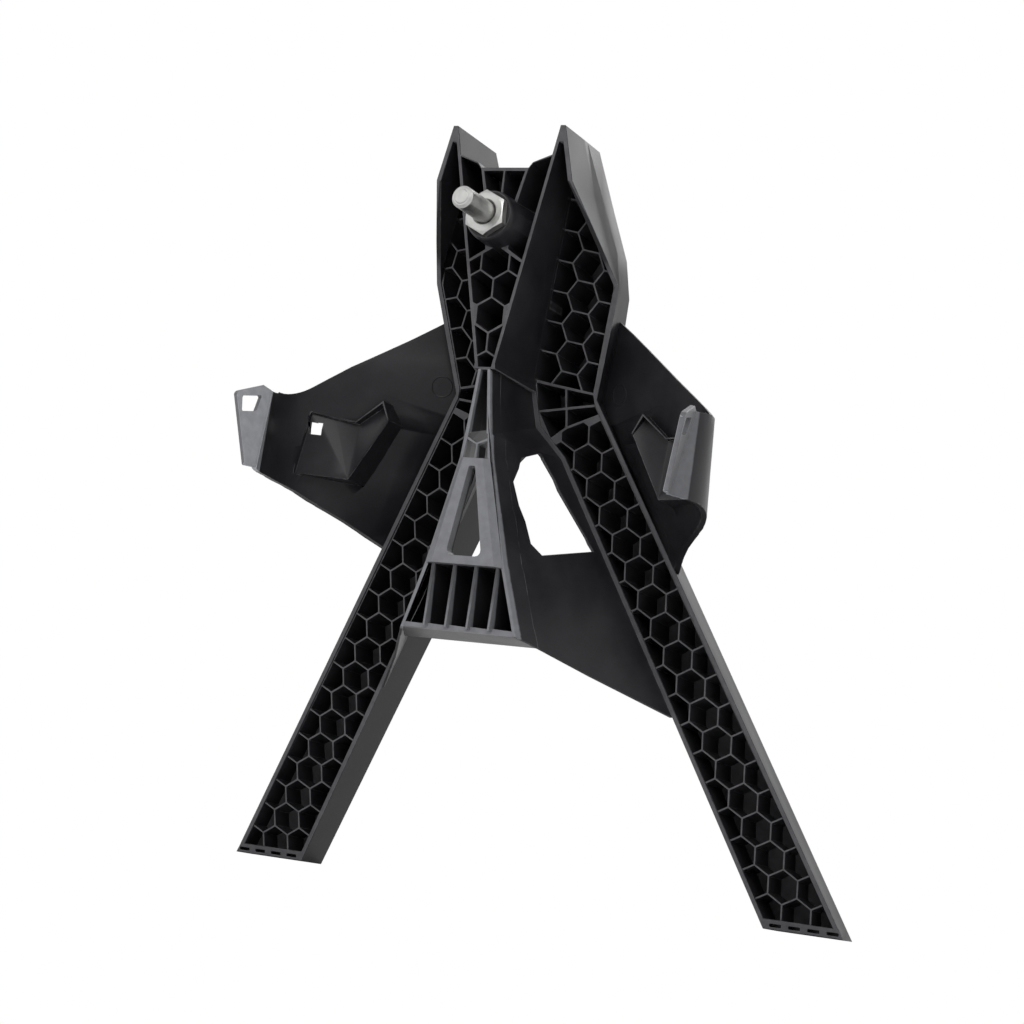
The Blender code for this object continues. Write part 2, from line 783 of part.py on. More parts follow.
def web_shell():
    """Both webs, each one a wall that spreads from the keel's front edge to a leg."""
    webs = spine_shell("webs", 0.0, 0.0, 0.0)
    cut(webs, spine_shell("channel", WEB, WALL, WALL))
    # The lower edge of the webs climbs from the crossbar to the legs
    edge = [
        (-FAR, SPINE_FOOT_Z - GRILLE_PLATE),
        (front_of_keel(SPINE_FOOT_Z), SPINE_FOOT_Z - GRILLE_PLATE),
        (front_of_leg(WEB_EDGE_Z), WEB_EDGE_Z),
        (FAR, WEB_EDGE_Z),
        (FAR, 0.0),
        (-FAR, 0.0),
    ]
    return cut(webs, side_plate("lower_edge", edge, -FAR, FAR))


def build_web():
    """Right web behind the keel, with its window."""
    web = web_shell()
    cut(web, spine_zone("keel_zone", -FAR, KEEL_POST + FIT))
    cut(web, block("left_half", (-FAR, -FAR, 0.0), (0.0, FAR, FAR)))
    front = KEEL_FRONT_Y - math.tan(KEEL_LEAN) * CROTCH_Z + KEEL_POST + WINDOW_FRONT
    top_z = CROTCH_Z - WINDOW_TOP_DROP
    foot_z = CROTCH_Z - WINDOW_FOOT_DROP
    window = [
        (front, CROTCH_Z - WINDOW_FRONT_DROP),
        (front + WINDOW_FOOT_IN - WINDOW_CORNER_DEPTH, foot_z + WINDOW_CORNER_RISE),
        (front + WINDOW_FOOT_IN, foot_z),
        (front + WINDOW_BACK_FOOT, foot_z + WINDOW_FOOT_TILT),
        (front + WINDOW_BACK_TOP, top_z - WINDOW_BACK_FALL),
        (front + WINDOW_BACK_TOP - WINDOW_BACK_CORNER, top_z),
        (front + WINDOW_TOP_IN, top_z - WINDOW_TOP_TILT),
    ]
    cut(web, side_plate("window", window, -FAR, FAR))
    return web


def build_keel():
    """Keel between the webs: two posts, the window frame, the grille and the crossbar."""
    keel = keep(web_shell(), spine_zone("post_zone", -FAR, KEEL_POST))
    ceiling_z = GRILLE_TOP_Z + GRILLE_PLATE
    deep = front_of_keel(SPINE_FOOT_Z) + GRILLE_DEPTH
    box_low = SPINE_FOOT_Z - GRILLE_PLATE
    plates = [
        ((-FAR, -FAR, GRILLE_TOP_Z), (FAR, deep, ceiling_z)),
        ((-FAR, -FAR, box_low), (FAR, deep, SPINE_FOOT_Z)),
        ((-FAR, deep - GRILLE_PLATE, box_low + FIT), (FAR, deep + FIT, ceiling_z - FIT)),
    ]
    for low, high in plates:
        rear = keep(block("rear_plate", low, high), spine_shell("inner", WEB + FIT, -FIT, -FIT))
        front = keep(block("front_plate", low, high), spine_shell("middle", WEB / 2, -FIT, -FIT))
        keep(front, spine_zone("plate_zone", -FAR, KEEL_POST - FIT))
        add(rear, front)
        add(keel, rear)
    for index in range(SLATS):
        x = (index - 0.5 * (SLATS - 1)) * SLAT_PITCH
        low = (x - SLAT / 2, front_of_keel(SPINE_FOOT_Z) - FRAME_PROUD, SPINE_FOOT_Z - GRILLE_PLATE / 2)
        high = (x + SLAT / 2, deep - GRILLE_PLATE / 2, ceiling_z - GRILLE_PLATE / 2)
        add(keel, block("slat", low, high))

    # Window frame with slanting sides, flush with the posts
    top = SPINE_MID_Z
    foot = GRILLE_TOP_Z
    sunk = FRAME_DEPTH - FRAME_PROUD
    widths = [
        (-FRAME_PROUD, FRAME_TOP_X, FRAME_FOOT_X),
        (FIT, spine_front_x(top) - FIT, spine_front_x(foot) - FIT),
        (sunk, mid_wall_x(top, sunk), mid_wall_x(foot, sunk)),
    ]
    rings = []
    for back, top_x, foot_x in widths:
        ring = [(-foot_x, foot), (foot_x, foot), (top_x, top), (-top_x, top)]
        rings.append([(x, front_of_keel(z) + back, z) for x, z in ring])
    frame = loft("window_frame", rings)
    opening_foot = GRILLE_TOP_Z + OPENING_FOOT_RISE
    opening_top = SPINE_MID_Z - OPENING_TOP_DROP
    opening = [
        (-OPENING_FOOT_X, opening_foot),
        (OPENING_FOOT_X, opening_foot),
        (OPENING_TOP_X, opening_top),
        (-OPENING_TOP_X, opening_top),
    ]
    opening = filleted(opening, OPENING_TOP_X / 2)[8:] + filleted(opening, OPENING_CORNER)[:8]
    cut(frame, plate("opening", opening, lambda x, z: -FAR, lambda x, z: FAR))
    add(keel, frame)

    # Forked rib between the posts above the window frame
    def rib_front(x, z):
        return front_of_keel(z) + FIT

    def rib_back(x, z):
        return front_of_keel(z) + FORK_DEPTH

    half = RIB / 2
    fork_z = SPINE_MID_Z + FORK_LIFT
    reach = spine_front_x(fork_z + FORK_RISE) - WEB / 2
    fork = [
        (-half, SPINE_MID_Z - GRILLE_PLATE / 2),
        (half, SPINE_MID_Z - GRILLE_PLATE / 2),
        (half, fork_z - half),
        (reach, fork_z + FORK_RISE - half),
        (reach, fork_z + FORK_RISE + half),
        (0.0, fork_z + half),
        (-reach, fork_z + FORK_RISE + half),
        (-reach, fork_z + FORK_RISE - half),
        (-half, fork_z - half),
    ]
    return add(keel, plate("fork", fork, rib_front, rib_back))


def build_bridge():
    """Wall between the prongs with the boss that carries the axle."""
    foot = WAIST_Z + WALL
    outline = [
        (-(inner_x(foot) - FIT), foot),
        (inner_x(foot) - FIT, foot),
        (inner_x(SHELF_Z) - FIT, SHELF_Z),
        (STEP_X, STEP_Z),
        (NOTCH_X, BRIDGE_TOP_Z),
        (-NOTCH_X, BRIDGE_TOP_Z),
        (-STEP_X, STEP_Z),
        (-(inner_x(SHELF_Z) - FIT), SHELF_Z),
    ]

    def face(x, z):
        return front_of_keel(z)

    def before(x, z):
        return face(x, z) - WALL

    def floor(x, z):
        return face(x, z) + BRIDGE_DEPTH - SKIN

    def pocket_floor(x, z):
        return face(x, z) + BOX_POCKET_DEPTH

    bridge = plate("bridge", outline, face, lambda x, z: face(x, z) + BRIDGE_DEPTH)
    # Honeycomb under the boss, closed above by two ribs that slope down from it like a yoke
    yoke_top = AXLE_Z - YOKE_DROP
    widest = inner_x(AXLE_Z)
    yoke_end = yoke_top - YOKE_SLOPE * widest
    half_yoke = YOKE_RIB / 2 * math.hypot(1.0, YOKE_SLOPE)
    region = [
        (-widest, foot + RIB),
        (widest, foot + RIB),
        (widest, yoke_end - half_yoke),
        (0.0, yoke_top - half_yoke),
        (-widest, yoke_end - half_yoke),
    ]
    closed = [(-inner_x(foot), foot), (inner_x(foot), foot), (inner_x(yoke_end), yoke_end)]
    closed += [(0.0, yoke_top), (-inner_x(yoke_end), yoke_end)]
    centre = (0.0, AXLE_Z - BRIDGE_CELL_DROP)
    honeycomb = cell_plates(closed, centre, 0.0, math.cos(KEEL_LEAN), before, floor)
    cut(bridge, keep(honeycomb, plate("region", region, lambda x, z: -FAR, lambda x, z: FAR)))
    # Two pockets in the top box, and one recess on each side of it
    top = BRIDGE_TOP_Z - BRIDGE_RIM
    low = AXLE_Z + BOX_FOOT_RISE
    half = RIB / 2
    rise = (SHELF_Z - STEP_Z) / (inner_x(SHELF_Z) - STEP_X)
    beyond = inner_x(SHELF_Z) + WALL
    yoke_x = BOX_FOOT_X - BRIDGE_RIM
    for side in (-1, 1):
        pocket = [(half, low), (BOX_FOOT_X - BRIDGE_RIM, low), (NOTCH_X - BRIDGE_RIM, top), (half, top)]
        pocket = [(side * x, z) for x, z in pocket]
        cut(bridge, plate("pocket", pocket, before, pocket_floor))
        recess = [
            (yoke_x, yoke_top - YOKE_SLOPE * yoke_x + half_yoke),
            (beyond, yoke_top - YOKE_SLOPE * beyond + half_yoke),
            (beyond, STEP_Z + rise * (beyond - STEP_X) - SHELF_RIM),
            (STEP_X, STEP_Z - SHELF_RIM),
            (NOTCH_X, BRIDGE_TOP_Z - SHELF_RIM),
            (BOX_FOOT_X, low),
        ]
        recess = [(side * x, z) for x, z in recess]
        cut(bridge, plate("recess", recess, before, floor))
    boss_y = front_seat_y()
    back = front_of_keel(AXLE_Z) + BRIDGE_DEPTH
    boss = [
        (boss_y, BOSS_FACE_RADIUS - BOSS_ROUND),
        (boss_y + BOSS_ROUND_DEPTH / 4, BOSS_FACE_RADIUS),
        (boss_y + BOSS_ROUND_DEPTH, BOSS_FACE_RADIUS + BOSS_ROUND / 2),
        (back - SKIN / 2, BOSS_ROOT),
    ]
    add(bridge, turned("boss", boss, 48))
    bore = AXLE_RADIUS + AXLE_BORE_CLEARANCE
    cut(bridge, turned("bore", [(-FAR, bore), (FAR, bore)], 32))
    # The back face is spotted flat and square to the axle for the rear washer
    spot_radius = WASHER_RADIUS + 2 * FIT
    cut(bridge, turned("spot_face", [(rear_seat_y(), spot_radius), (FAR, spot_radius)], 40))
    return bridge


def front_seat_y():
    """Depth of the boss face that the nut sits on, behind the nut's own front face."""
    return NUT_THICK + FIT - NUT_FRONT


def rear_seat_y():
    """Depth of the flat that the rear washer sits on."""
    return front_of_keel(AXLE_Z) + BRIDGE_DEPTH - math.tan(KEEL_LEAN) * (WASHER_RADIUS + 2 * FIT)


def trough(z):
    """Centre, radius and end angles of the wing's trough at a height, from where the panel touches it."""
    share = min((z - TROUGH_LOW_Z) / (TROUGH_HIGH_Z - TROUGH_LOW_Z), TROUGH_TOP_SHARE)
    centre = (along(TROUGH_LOW_X, TROUGH_HIGH_X, share), along(TROUGH_LOW_Y, TROUGH_HIGH_Y, share))
    radius = along(TROUGH_LOW_RADIUS, TROUGH_HIGH_RADIUS, share)
    end = along(TROUGH_LOW_END, TROUGH_HIGH_END, share)
    root = wing_root(z)
    away = math.hypot(root[0] - centre[0], root[1] - centre[1])
    start = math.atan2(root[1] - centre[1], root[0] - centre[0]) - math.acos(radius / away)
    return centre, radius, start, end


def wing_root(z):
    """Where the wing sheet meets the leg, in plan."""
    level = z - WAIST_Z
    behind = WING_ROOT[-1][1]
    for (low, near), (high, far) in zip(WING_ROOT, WING_ROOT[1:]):
        if level < high:
            behind = along(near, far, max(0.0, (level - low) / (high - low)))
            break
    return outer_x(z) - 1.5 * WALL, front_of_leg(z) + behind


def trough_point(z, share):
    """Point on the trough in plan, a share of the way from its start to its lip."""
    centre, radius, start, end = trough(z)
    angle = along(start, end, share)
    return centre[0] + radius * math.cos(angle), centre[1] + radius * math.sin(angle)


def wing_section(z):
    """Plan curve of the wing sheet at a height, from the leg to the lip."""
    root = wing_root(z)
    first = trough_point(z, 0.0)
    curve = []
    for index in range(PANEL_STEPS):
        share = index / PANEL_STEPS
        curve.append((along(root[0], first[0], share), along(root[1], first[1], share)))
    for index in range(TROUGH_STEPS + 1):
        curve.append(trough_point(z, index / TROUGH_STEPS))
    return curve


def wing_depth(x, z):
    """Depth of the middle of the wing sheet at a place on it."""
    centre, radius, start, end = trough(z)
    first = trough_point(z, 0.0)
    if x > first[0]:
        return centre[1] + math.sqrt(radius ** 2 - (x - centre[0]) ** 2)
    root = wing_root(z)
    return along(root[1], first[1], (x - root[0]) / (first[0] - root[0]))


def pocket_rings(shrink, back, past, sunk):
    """Front ring of the raised pocket, moved back, and its base, run on past the sheet."""
    rim = [(x, WAIST_Z - drop) for x, y, drop, sink in POCKET_RIM]
    ring = []
    base = []
    for (x, z), (_, y, _, sink) in zip(inset(rim, [shrink] * len(rim)), POCKET_RIM):
        depth = y + back + sunk * sink
        ring.append((x, depth, z))
        base.append((x, max(wing_depth(x, z), depth + RIB) + past, z))
    return [ring, base]


def pocket_face():
    """Space ahead of the pocket's face, which lies behind the rim near its top."""
    rim = [(x, WAIST_Z - drop) for x, y, drop, sink in POCKET_RIM]
    edges = []
    for index, point in enumerate(POCKET_RIM):
        other = POCKET_RIM[(index + 1) % len(POCKET_RIM)]
        edges.append(POCKET_LIP if point[3] + other[3] > POCKET_LIP else -POCKET_LIP)
    rings = [[], []]
    for (x, z), (_, y, _, sink) in zip(inset(rim, edges), POCKET_RIM):
        rings[0].append((x, y - WALL, z))
        rings[1].append((x, y + sink, z))
    return loft("pocket_face", rings, fanned=True)


def build_flange():
    """Flat flange on the lip of the trough, with its strap hole."""
    top = trough_point(LIP_TOP_Z, 1.0)
    low = trough_point(LIP_LOW_Z, 1.0)
    fold_top = Vector((top[0], top[1], LIP_TOP_Z))
    fold_low = Vector((low[0], low[1], LIP_LOW_Z))
    free_top = fold_top + Vector((FLANGE_TOP_OUT, -FLANGE_TOP_REACH, -FLANGE_TOP_DROP))
    free_low = fold_low + Vector((FLANGE_LOW_OUT, -FLANGE_LOW_REACH, -FLANGE_LOW_DROP))
    down = (fold_low - fold_top).normalized()
    across = (free_top - fold_top).normalized()
    normal = across.cross(down).normalized()
    skew = across.dot(down)

    def flat(point):
        """How far a point of the flange's plane lies across from the fold's top, and down along the fold."""
        away = point - fold_top
        out = away.dot(across)
        fall = away.dot(down)
        return (out - skew * fall) / (1.0 - skew ** 2), (fall - skew * out) / (1.0 - skew ** 2)

    def solid(name, outline, half):
        """Plate of the flange's plane through an outline."""
        rings = []
        for side in (-half, half):
            rings.append([fold_top + across * u + down * v + normal * side for u, v in outline])
        return loft(name, rings)

    far_top, far_low = flat(free_top), flat(free_low)
    length = (fold_low - fold_top).length
    beside = -2 * FLANGE_CORNER
    free = filleted([(beside, 0.0), far_top, far_low, (beside, length)], FLANGE_CORNER)
    steps = len(free) // 4
    crest = (FLANGE_CREST_OUT, -FLANGE_CREST_RISE)
    outline = [(0.0, 0.0), crest] + free[steps:3 * steps] + [(0.0, length)]
    flange = solid("flange", outline, FLANGE_THICK / 2)
    width = far_top[0]
    hole = [
        (STRAP_FOLD, STRAP_TOP),
        (width - STRAP_SIDE, STRAP_TOP),
        (width - STRAP_SIDE - STRAP_TAPER, STRAP_LOW),
        (STRAP_FOLD + STRAP_TAPER, STRAP_LOW),
    ]
    return cut(flange, solid("strap_hole", filleted(hole, STRAP_CORNER), WALL))


def build_wing():
    """Right wing: the curled sheet trimmed to its outline, with its pocket, hole and flange."""
    low_z = WING_FOOT_Z - WALL
    high_z = WAIST_Z + WING_ROOT[-1][0] + 2 * WING_THICK
    levels = [along(low_z, high_z, index / WING_LEVELS) for index in range(WING_LEVELS + 1)]
    shape = bmesh.new()
    rows = [[shape.verts.new((x, y, z)) for x, y in wing_section(z)] for z in levels]
    for low, high in zip(rows, rows[1:]):
        for index in range(len(low) - 1):
            shape.faces.new((low[index], low[index + 1], high[index + 1], high[index]))
    mesh = bpy.data.meshes.new("sheet")
    shape.to_mesh(mesh)
    shape.free()
    sheet = bpy.data.objects.new("wing", mesh)
    CUTTERS.objects.link(sheet)
    solidify = sheet.modifiers.new("thickness", "SOLIDIFY")
    solidify.thickness = WING_THICK
    solidify.offset = 0.0
    solidify.use_even_offset = True
    bpy.context.view_layer.update()
    graph = bpy.context.evaluated_depsgraph_get()
    sheet.data = bpy.data.meshes.new_from_object(sheet.evaluated_get(graph))
    sheet.modifiers.clear()
    fixed = bmesh.new()
    fixed.from_mesh(sheet.data)
    bmesh.ops.triangulate(fixed, faces=fixed.faces)
    bmesh.ops.recalc_face_normals(fixed, faces=fixed.faces)
    fixed.to_mesh(sheet.data)
    fixed.free()

    add(sheet, loft("pocket_block", pocket_rings(0.0, 0.0, WING_THICK / 3, 0.0), fanned=True))
    hollow = pocket_rings(POCKET_WALL, POCKET_WALL, POCKET_PAST, 1.0)
    cut(sheet, loft("pocket_hollow", hollow, fanned=True))
    cut(sheet, pocket_face())

    root_top = WING_TOP_Z + WING_TOP_RISE * (WING_TOP_X - WAIST_X + WALL)
    above = [
        (WAIST_X - WALL, root_top),
        (WING_TOP_X, WING_TOP_Z),
        (WING_END_X, WING_END_Z),
        (FAR, WING_END_Z),
        (FAR, FAR * 2),
        (WAIST_X - WALL, FAR * 2),
    ]
    cut(sheet, plate("above", above, lambda x, z: -FAR, lambda x, z: FAR))
    lip_y = TROUGH_HIGH_Y - TROUGH_HIGH_RADIUS / 2
    lip = [(-FAR, LIP_TOP_Z), (lip_y, LIP_TOP_Z), (TROUGH_HIGH_Y, WING_END_Z)]
    lip += [(TROUGH_HIGH_Y, FAR * 2), (-FAR, FAR * 2)]
    cut(sheet, side_plate("lip_top", lip, 0.0, FAR))
    root_y = front_of_leg(WING_FOOT_Z) + WING_ROOT[0][1]
    under = [(-FAR, LIP_LOW_Z)] + [(y, LIP_LOW_Z - drop) for y, drop in WING_UNDER]
    under += [(root_y, WING_FOOT_Z), (FAR, WING_FOOT_Z), (FAR, 0.0), (-FAR, 0.0)]
    cut(sheet, side_plate("under", under, 0.0, FAR))

    # Square hole through the outer wall of the trough, drawn along Y like the rest of the mould
    hole_z = WAIST_Z - HOLE_DROP
    half = HOLE_SIZE / 2
    low = (HOLE_X - half, TROUGH_HIGH_Y, hole_z - half)
    cut(sheet, block("hole", low, (HOLE_X + half, FAR, hole_z + half)))
    add(sheet, build_flange())
    clearance = inset(SIDE_OUTLINE, [-FIT] * len(SIDE_OUTLINE))
    cut(sheet, beam_prism("leg_clearance", clearance))
    return sheet


def build_nut(look):
    """Chamfered hexagon nut with a countersunk mouth, its origin on the axle line."""
    rear = front_seat_y() - FIT
    front = rear - NUT_THICK
    radius = NUT_FLATS / math.sqrt(3)
    fall = (radius - NUT_CHAMFER_RADIUS) * math.tan(NUT_CHAMFER_ANGLE)
    bore = AXLE_RADIUS + FIT
    nut = turned("nut", [(front, radius), (rear, radius)], 6, NUT_TURN + math.radians(30))
    cone = [
        (front - WALL, NUT_CHAMFER_RADIUS),
        (front, NUT_CHAMFER_RADIUS),
        (front + fall, radius + FIT),
        (rear + WALL, radius + FIT),
    ]
    keep(nut, turned("nut_cone", cone, 48))
    cut(nut, turned("nut_bore", [(-FAR, bore), (FAR, bore)], 32))
    mouth = [(front - FIT, bore + NUT_MOUTH + FIT), (front + NUT_MOUTH, bore - FIT)]
    cut(nut, turned("nut_mouth", mouth, 32))
    middle = Matrix.Translation((0.0, 0.5 * (front + rear), AXLE_Z))
    nut.data.transform(middle.inverted())
    nut.location = middle.translation
    finish(nut, "axle_nut", look)


def build_axle():
    """Stub with its head, the nut and the rear washer on the axle line."""
    front = front_seat_y()
    rear = rear_seat_y()
    tip = front - FIT - NUT_THICK - AXLE_REACH
    head_front = rear + FIT + WASHER_THICK + FIT
    look = material("zinc_steel", (0.62, 0.61, 0.58), 0.28, 1.0)
    stations = [
        (tip, AXLE_END_RADIUS - AXLE_END_RISE),
        (tip + AXLE_END_RISE, AXLE_END_RADIUS),
        (tip + AXLE_END_RISE, AXLE_RADIUS - AXLE_CHAMFER),
        (tip + AXLE_END_RISE + AXLE_CHAMFER, AXLE_RADIUS),
        (head_front + HEAD_THICK / 2, AXLE_RADIUS),
    ]
    stub = turned("stub", stations, 32)
    head_radius = HEAD_FLATS / math.sqrt(3)
    head = [(head_front, head_radius), (head_front + HEAD_THICK, head_radius)]
    add(stub, turned("head", head, 6, math.radians(30)))
    finish(stub, "axle_stub", look)
    build_nut(look)
    bore = AXLE_RADIUS + FIT
    start = rear + FIT
    washer = turned("rear_washer", [(start, WASHER_RADIUS), (start + WASHER_THICK, WASHER_RADIUS)], 40)
    cut(washer, turned("washer_bore", [(-FAR, bore), (FAR, bore)], 32))
    finish(washer, "rear_washer", look)


def build_stand():
    """Every piece of the stand."""
    nylon = material("black_nylon", (0.012, 0.012, 0.014), 0.42, 0.0)
    side = build_side()
    finish(mirrored(side, "left_leg"), "left_leg", nylon)
    finish(side, "right_leg", nylon)
    web = build_web()
    finish(mirrored(web, "left_web"), "left_web", nylon)
    finish(web, "right_web", nylon)
    finish(build_keel(), "keel_frame", nylon)
    finish(build_bridge(), "axle_bridge", nylon)
    wing = build_wing()
    finish(mirrored(wing, "left_wing"), "left_wing", nylon)
    finish(wing, "right_wing", nylon)
    build_axle()


build_stand()
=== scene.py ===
"""Looks of the moulded bike stand: satin black nylon frame, honeycomb legs and a zinc plated axle.

Metres, +Z up, the floor at z = 0 and the honeycomb side towards -Y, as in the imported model.
"""

from __future__ import annotations

import logging
from dataclasses import dataclass
from enum import Enum
from math import cos, radians, sin, sqrt, tan
from typing import Callable, Sequence

import bmesh
import bpy
from mathutils import Matrix, Vector
from mathutils.bvhtree import BVHTree


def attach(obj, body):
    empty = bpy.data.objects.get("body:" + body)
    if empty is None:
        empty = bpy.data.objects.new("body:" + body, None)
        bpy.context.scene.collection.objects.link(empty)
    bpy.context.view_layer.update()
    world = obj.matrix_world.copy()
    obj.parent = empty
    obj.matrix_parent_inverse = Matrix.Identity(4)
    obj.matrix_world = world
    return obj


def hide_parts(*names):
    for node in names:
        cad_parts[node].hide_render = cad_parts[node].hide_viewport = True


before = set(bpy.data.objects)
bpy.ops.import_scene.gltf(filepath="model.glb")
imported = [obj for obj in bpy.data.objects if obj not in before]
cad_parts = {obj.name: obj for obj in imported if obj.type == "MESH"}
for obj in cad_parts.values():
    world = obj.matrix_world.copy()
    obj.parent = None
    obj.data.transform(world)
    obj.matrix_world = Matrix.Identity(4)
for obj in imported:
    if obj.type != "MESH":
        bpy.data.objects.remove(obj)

LOG = logging.getLogger("bike_stand")
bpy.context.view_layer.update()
AXLE_NODES = ("axle_stub", "axle_nut", "rear_washer")

Colour = tuple[float, float, float]
Point = tuple[float, float]
Place = tuple[float, float, float]
Span = tuple[float, float]
Inputs = dict[int | str, object]
Outline = Sequence[Point]
Test = Callable[[Vector], bool]
Piece = bpy.types.Object


class Body(Enum):
    """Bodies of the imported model; the nut's only node is kept as packed."""

    FRAME = "frame"
    NUT = "nut"


class Slot(Enum):
    """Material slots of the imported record."""

    NYLON = "black_nylon"
    ZINC = "zinc_steel"


class Wire:
    """A node's output, with the arithmetic that node expressions use."""

    def __init__(self, tree: NodeTree, socket: bpy.types.NodeSocket) -> None:
        """Wraps one output of a tree."""
        self.tree = tree
        self.socket = socket

    def _maths(self, operation: str, first: Wire | float, second: Wire | float) -> Wire:
        """Adds a Math node on two wires or numbers."""
        return self.tree.node("ShaderNodeMath", {"operation": operation}, {0: first, 1: second})

    def __add__(self, other: Wire | float) -> Wire:
        """Sum with a wire or a number."""
        return self._maths("ADD", self, other)

    def __sub__(self, other: Wire | float) -> Wire:
        """Difference with a wire or a number."""
        return self._maths("SUBTRACT", self, other)

    def __rsub__(self, other: float) -> Wire:
        """Difference from a number on the left."""
        return self._maths("SUBTRACT", other, self)

    def __mul__(self, other: Wire | float) -> Wire:
        """Product with a wire or a number."""
        return self._maths("MULTIPLY", self, other)

    def __truediv__(self, other: Wire | float) -> Wire:
        """Quotient by a wire or a number."""
        return self._maths("DIVIDE", self, other)

    def __rtruediv__(self, other: float) -> Wire:
        """Quotient of a number on the left."""
        return self._maths("DIVIDE", other, self)

    def power(self, exponent: float) -> Wire:
        """This value raised to an exponent."""
        return self._maths("POWER", self, exponent)

    def unsigned(self) -> Wire:
        """This value without its sign."""
        return (self * self).power(0.5)

    def clamped(self, low: float, high: float) -> Wire:
        """This value mapped from low..high to 0..1 and clamped.

        Args:
            low: Value that becomes 0.
            high: Value that becomes 1.

        Returns:
            The mapped wire.
        """
        inputs = {0: self, 1: low, 2: high, 3: 0.0, 4: 1.0}
        return self.tree.node("ShaderNodeMapRange", {"clamp": True}, inputs)

    def split(self) -> list[Wire]:
        """The x, y and z of this vector."""
        parts = self.tree.node("ShaderNodeSeparateXYZ", {}, {0: self}).socket.node.outputs
        return [Wire(self.tree, part) for part in parts]

    def dot(self, other: Wire | Place) -> Wire:
        """Dot product with another vector."""
        settings = {"operation": "DOT_PRODUCT"}
        return self.tree.node("ShaderNodeVectorMath", settings, {0: self, 1: other}, "Value")

    def noise(self, scale: float, detail: float, roughness: float) -> Wire:
        """Fractal noise at this place, about 0.5.

        Args:
            scale: Features for each metre.
            detail: Octaves.
            roughness: Weight of the fine octaves.

        Returns:
            The noise value.
        """
        inputs = {"Vector": self, "Scale": scale, "Detail": detail, "Roughness": roughness}
        return self.tree.node("ShaderNodeTexNoise", {}, inputs)


class NodeTree:
    """Nodes of one material, world or form, made by a single method."""

    def __init__(self, tree: bpy.types.NodeTree) -> None:
        """Empties the tree and keeps it."""
        self.tree = tree
        self.tree.nodes.clear()

    def node(self, kind: str, settings: dict[str, object] | None = None, inputs: Inputs | None = None,
             output: int | str = 0) -> Wire:
        """Makes a node.

        Args:
            kind: Node type identifier.
            settings: Attributes that are set before the inputs.
            inputs: Values or wires for the sockets, by index or name.
            output: Output that the returned wire stands for.

        Returns:
            A wire on that output. A node without outputs gives its first input.
        """
        made = self.tree.nodes.new(kind)
        for name, value in (settings or {}).items():
            setattr(made, name, value)
        for key, value in (inputs or {}).items():
            socket = made.inputs[key]
            if isinstance(value, Wire):
                value = [value]
            if isinstance(value, list):
                for wire in value:
                    self.tree.links.new(wire.socket, socket)
            else:
                socket.default_value = value
        return Wire(self, made.outputs[output] if len(made.outputs) else made.inputs[0])

    def mix(self, share: Wire, first: Wire | Colour, second: Wire | Colour) -> Wire:
        """Blends two colours.

        Args:
            share: 0 for the first colour and 1 for the second.
            first: Colour or wire.
            second: Colour or wire.

        Returns:
            The blended colour.
        """
        colours = [(*c, 1.0) if isinstance(c, tuple) else c for c in (first, second)]
        return self.node("ShaderNodeMix", {"data_type": "RGBA"}, {0: share, 6: colours[0], 7: colours[1]}, 2)


class FormTree(NodeTree):
    """A Geometry Nodes group with named inputs that turns a host object into a finished form."""

    def __init__(self, name: str) -> None:
        """Makes the group with its geometry input and output.

        Args:
            name: Name of the group.
        """
        super().__init__(bpy.data.node_groups.new(name, "GeometryNodeTree"))
        self.values: dict[str, float | int] = {}
        for side in ("INPUT", "OUTPUT"):
            self.tree.interface.new_socket("Geometry", in_out=side, socket_type="NodeSocketGeometry")
        self.entry = self.tree.nodes.new("NodeGroupInput")

    def host(self) -> Wire:
        """Geometry of the object that carries the group."""
        return Wire(self, self.entry.outputs["Geometry"])

    def given(self, name: str, value: float | int) -> Wire:
        """Adds a named input.

        Args:
            name: Name of the input.
            value: Its value: a measure or a count.

        Returns:
            A wire on the input.
        """
        kind = "NodeSocketInt" if isinstance(value, int) else "NodeSocketFloat"
        made = self.tree.interface.new_socket(name, in_out="INPUT", socket_type=kind)
        self.values[made.identifier] = value
        return Wire(self, self.entry.outputs[name])

    def vector(self, x: Wire | float, y: Wire | float, z: Wire | float) -> Wire:
        """A vector of wires or numbers."""
        return self.node("ShaderNodeCombineXYZ", {}, {0: x, 1: y, 2: z})

    def moved(self, form: Wire, rotation: Place = (0.0, 0.0, 0.0),
              scale: Wire | Place = (1.0, 1.0, 1.0)) -> Wire:
        """A form turned or scaled about the origin."""
        inputs = {"Geometry": form, "Rotation": rotation, "Scale": scale}
        return self.node("GeometryNodeTransform", {}, inputs)

    def spread(self, points: Wire, form: Wire) -> Wire:
        """A form on each point, as real mesh."""
        copies = self.node("GeometryNodeInstanceOnPoints", {}, {"Points": points, "Instance": form})
        return self.node("GeometryNodeRealizeInstances", {}, {0: copies})

    def without(self, form: Wire, tools: Wire) -> Wire:
        """A form with tools cut out of it."""
        settings = {"operation": "DIFFERENCE", "solver": "EXACT"}
        return self.node("GeometryNodeMeshBoolean", settings, {"Mesh 1": form, "Mesh 2": tools})

    def finish(self, form: Wire, finish: Finish) -> None:
        """Ends the tree: instances made real and the material set.

        Args:
            form: Form that the tree gives.
            finish: Finish of its surface.
        """
        real = self.node("GeometryNodeRealizeInstances", {}, {0: form})
        dressed = self.node("GeometryNodeSetMaterial", {}, {"Geometry": real, "Material": finish.material()})
        self.node("NodeGroupOutput", {}, {0: dressed})

    def run(self, host: Piece) -> Piece:
        """Runs the group on a host and keeps the result as plain mesh.

        Args:
            host: Object that carries the group.

        Returns:
            The same object.
        """
        modifier = host.modifiers.new("form", "NODES")
        modifier.node_group = self.tree
        for identifier, value in self.values.items():
            modifier[identifier] = value
        return settled(host)


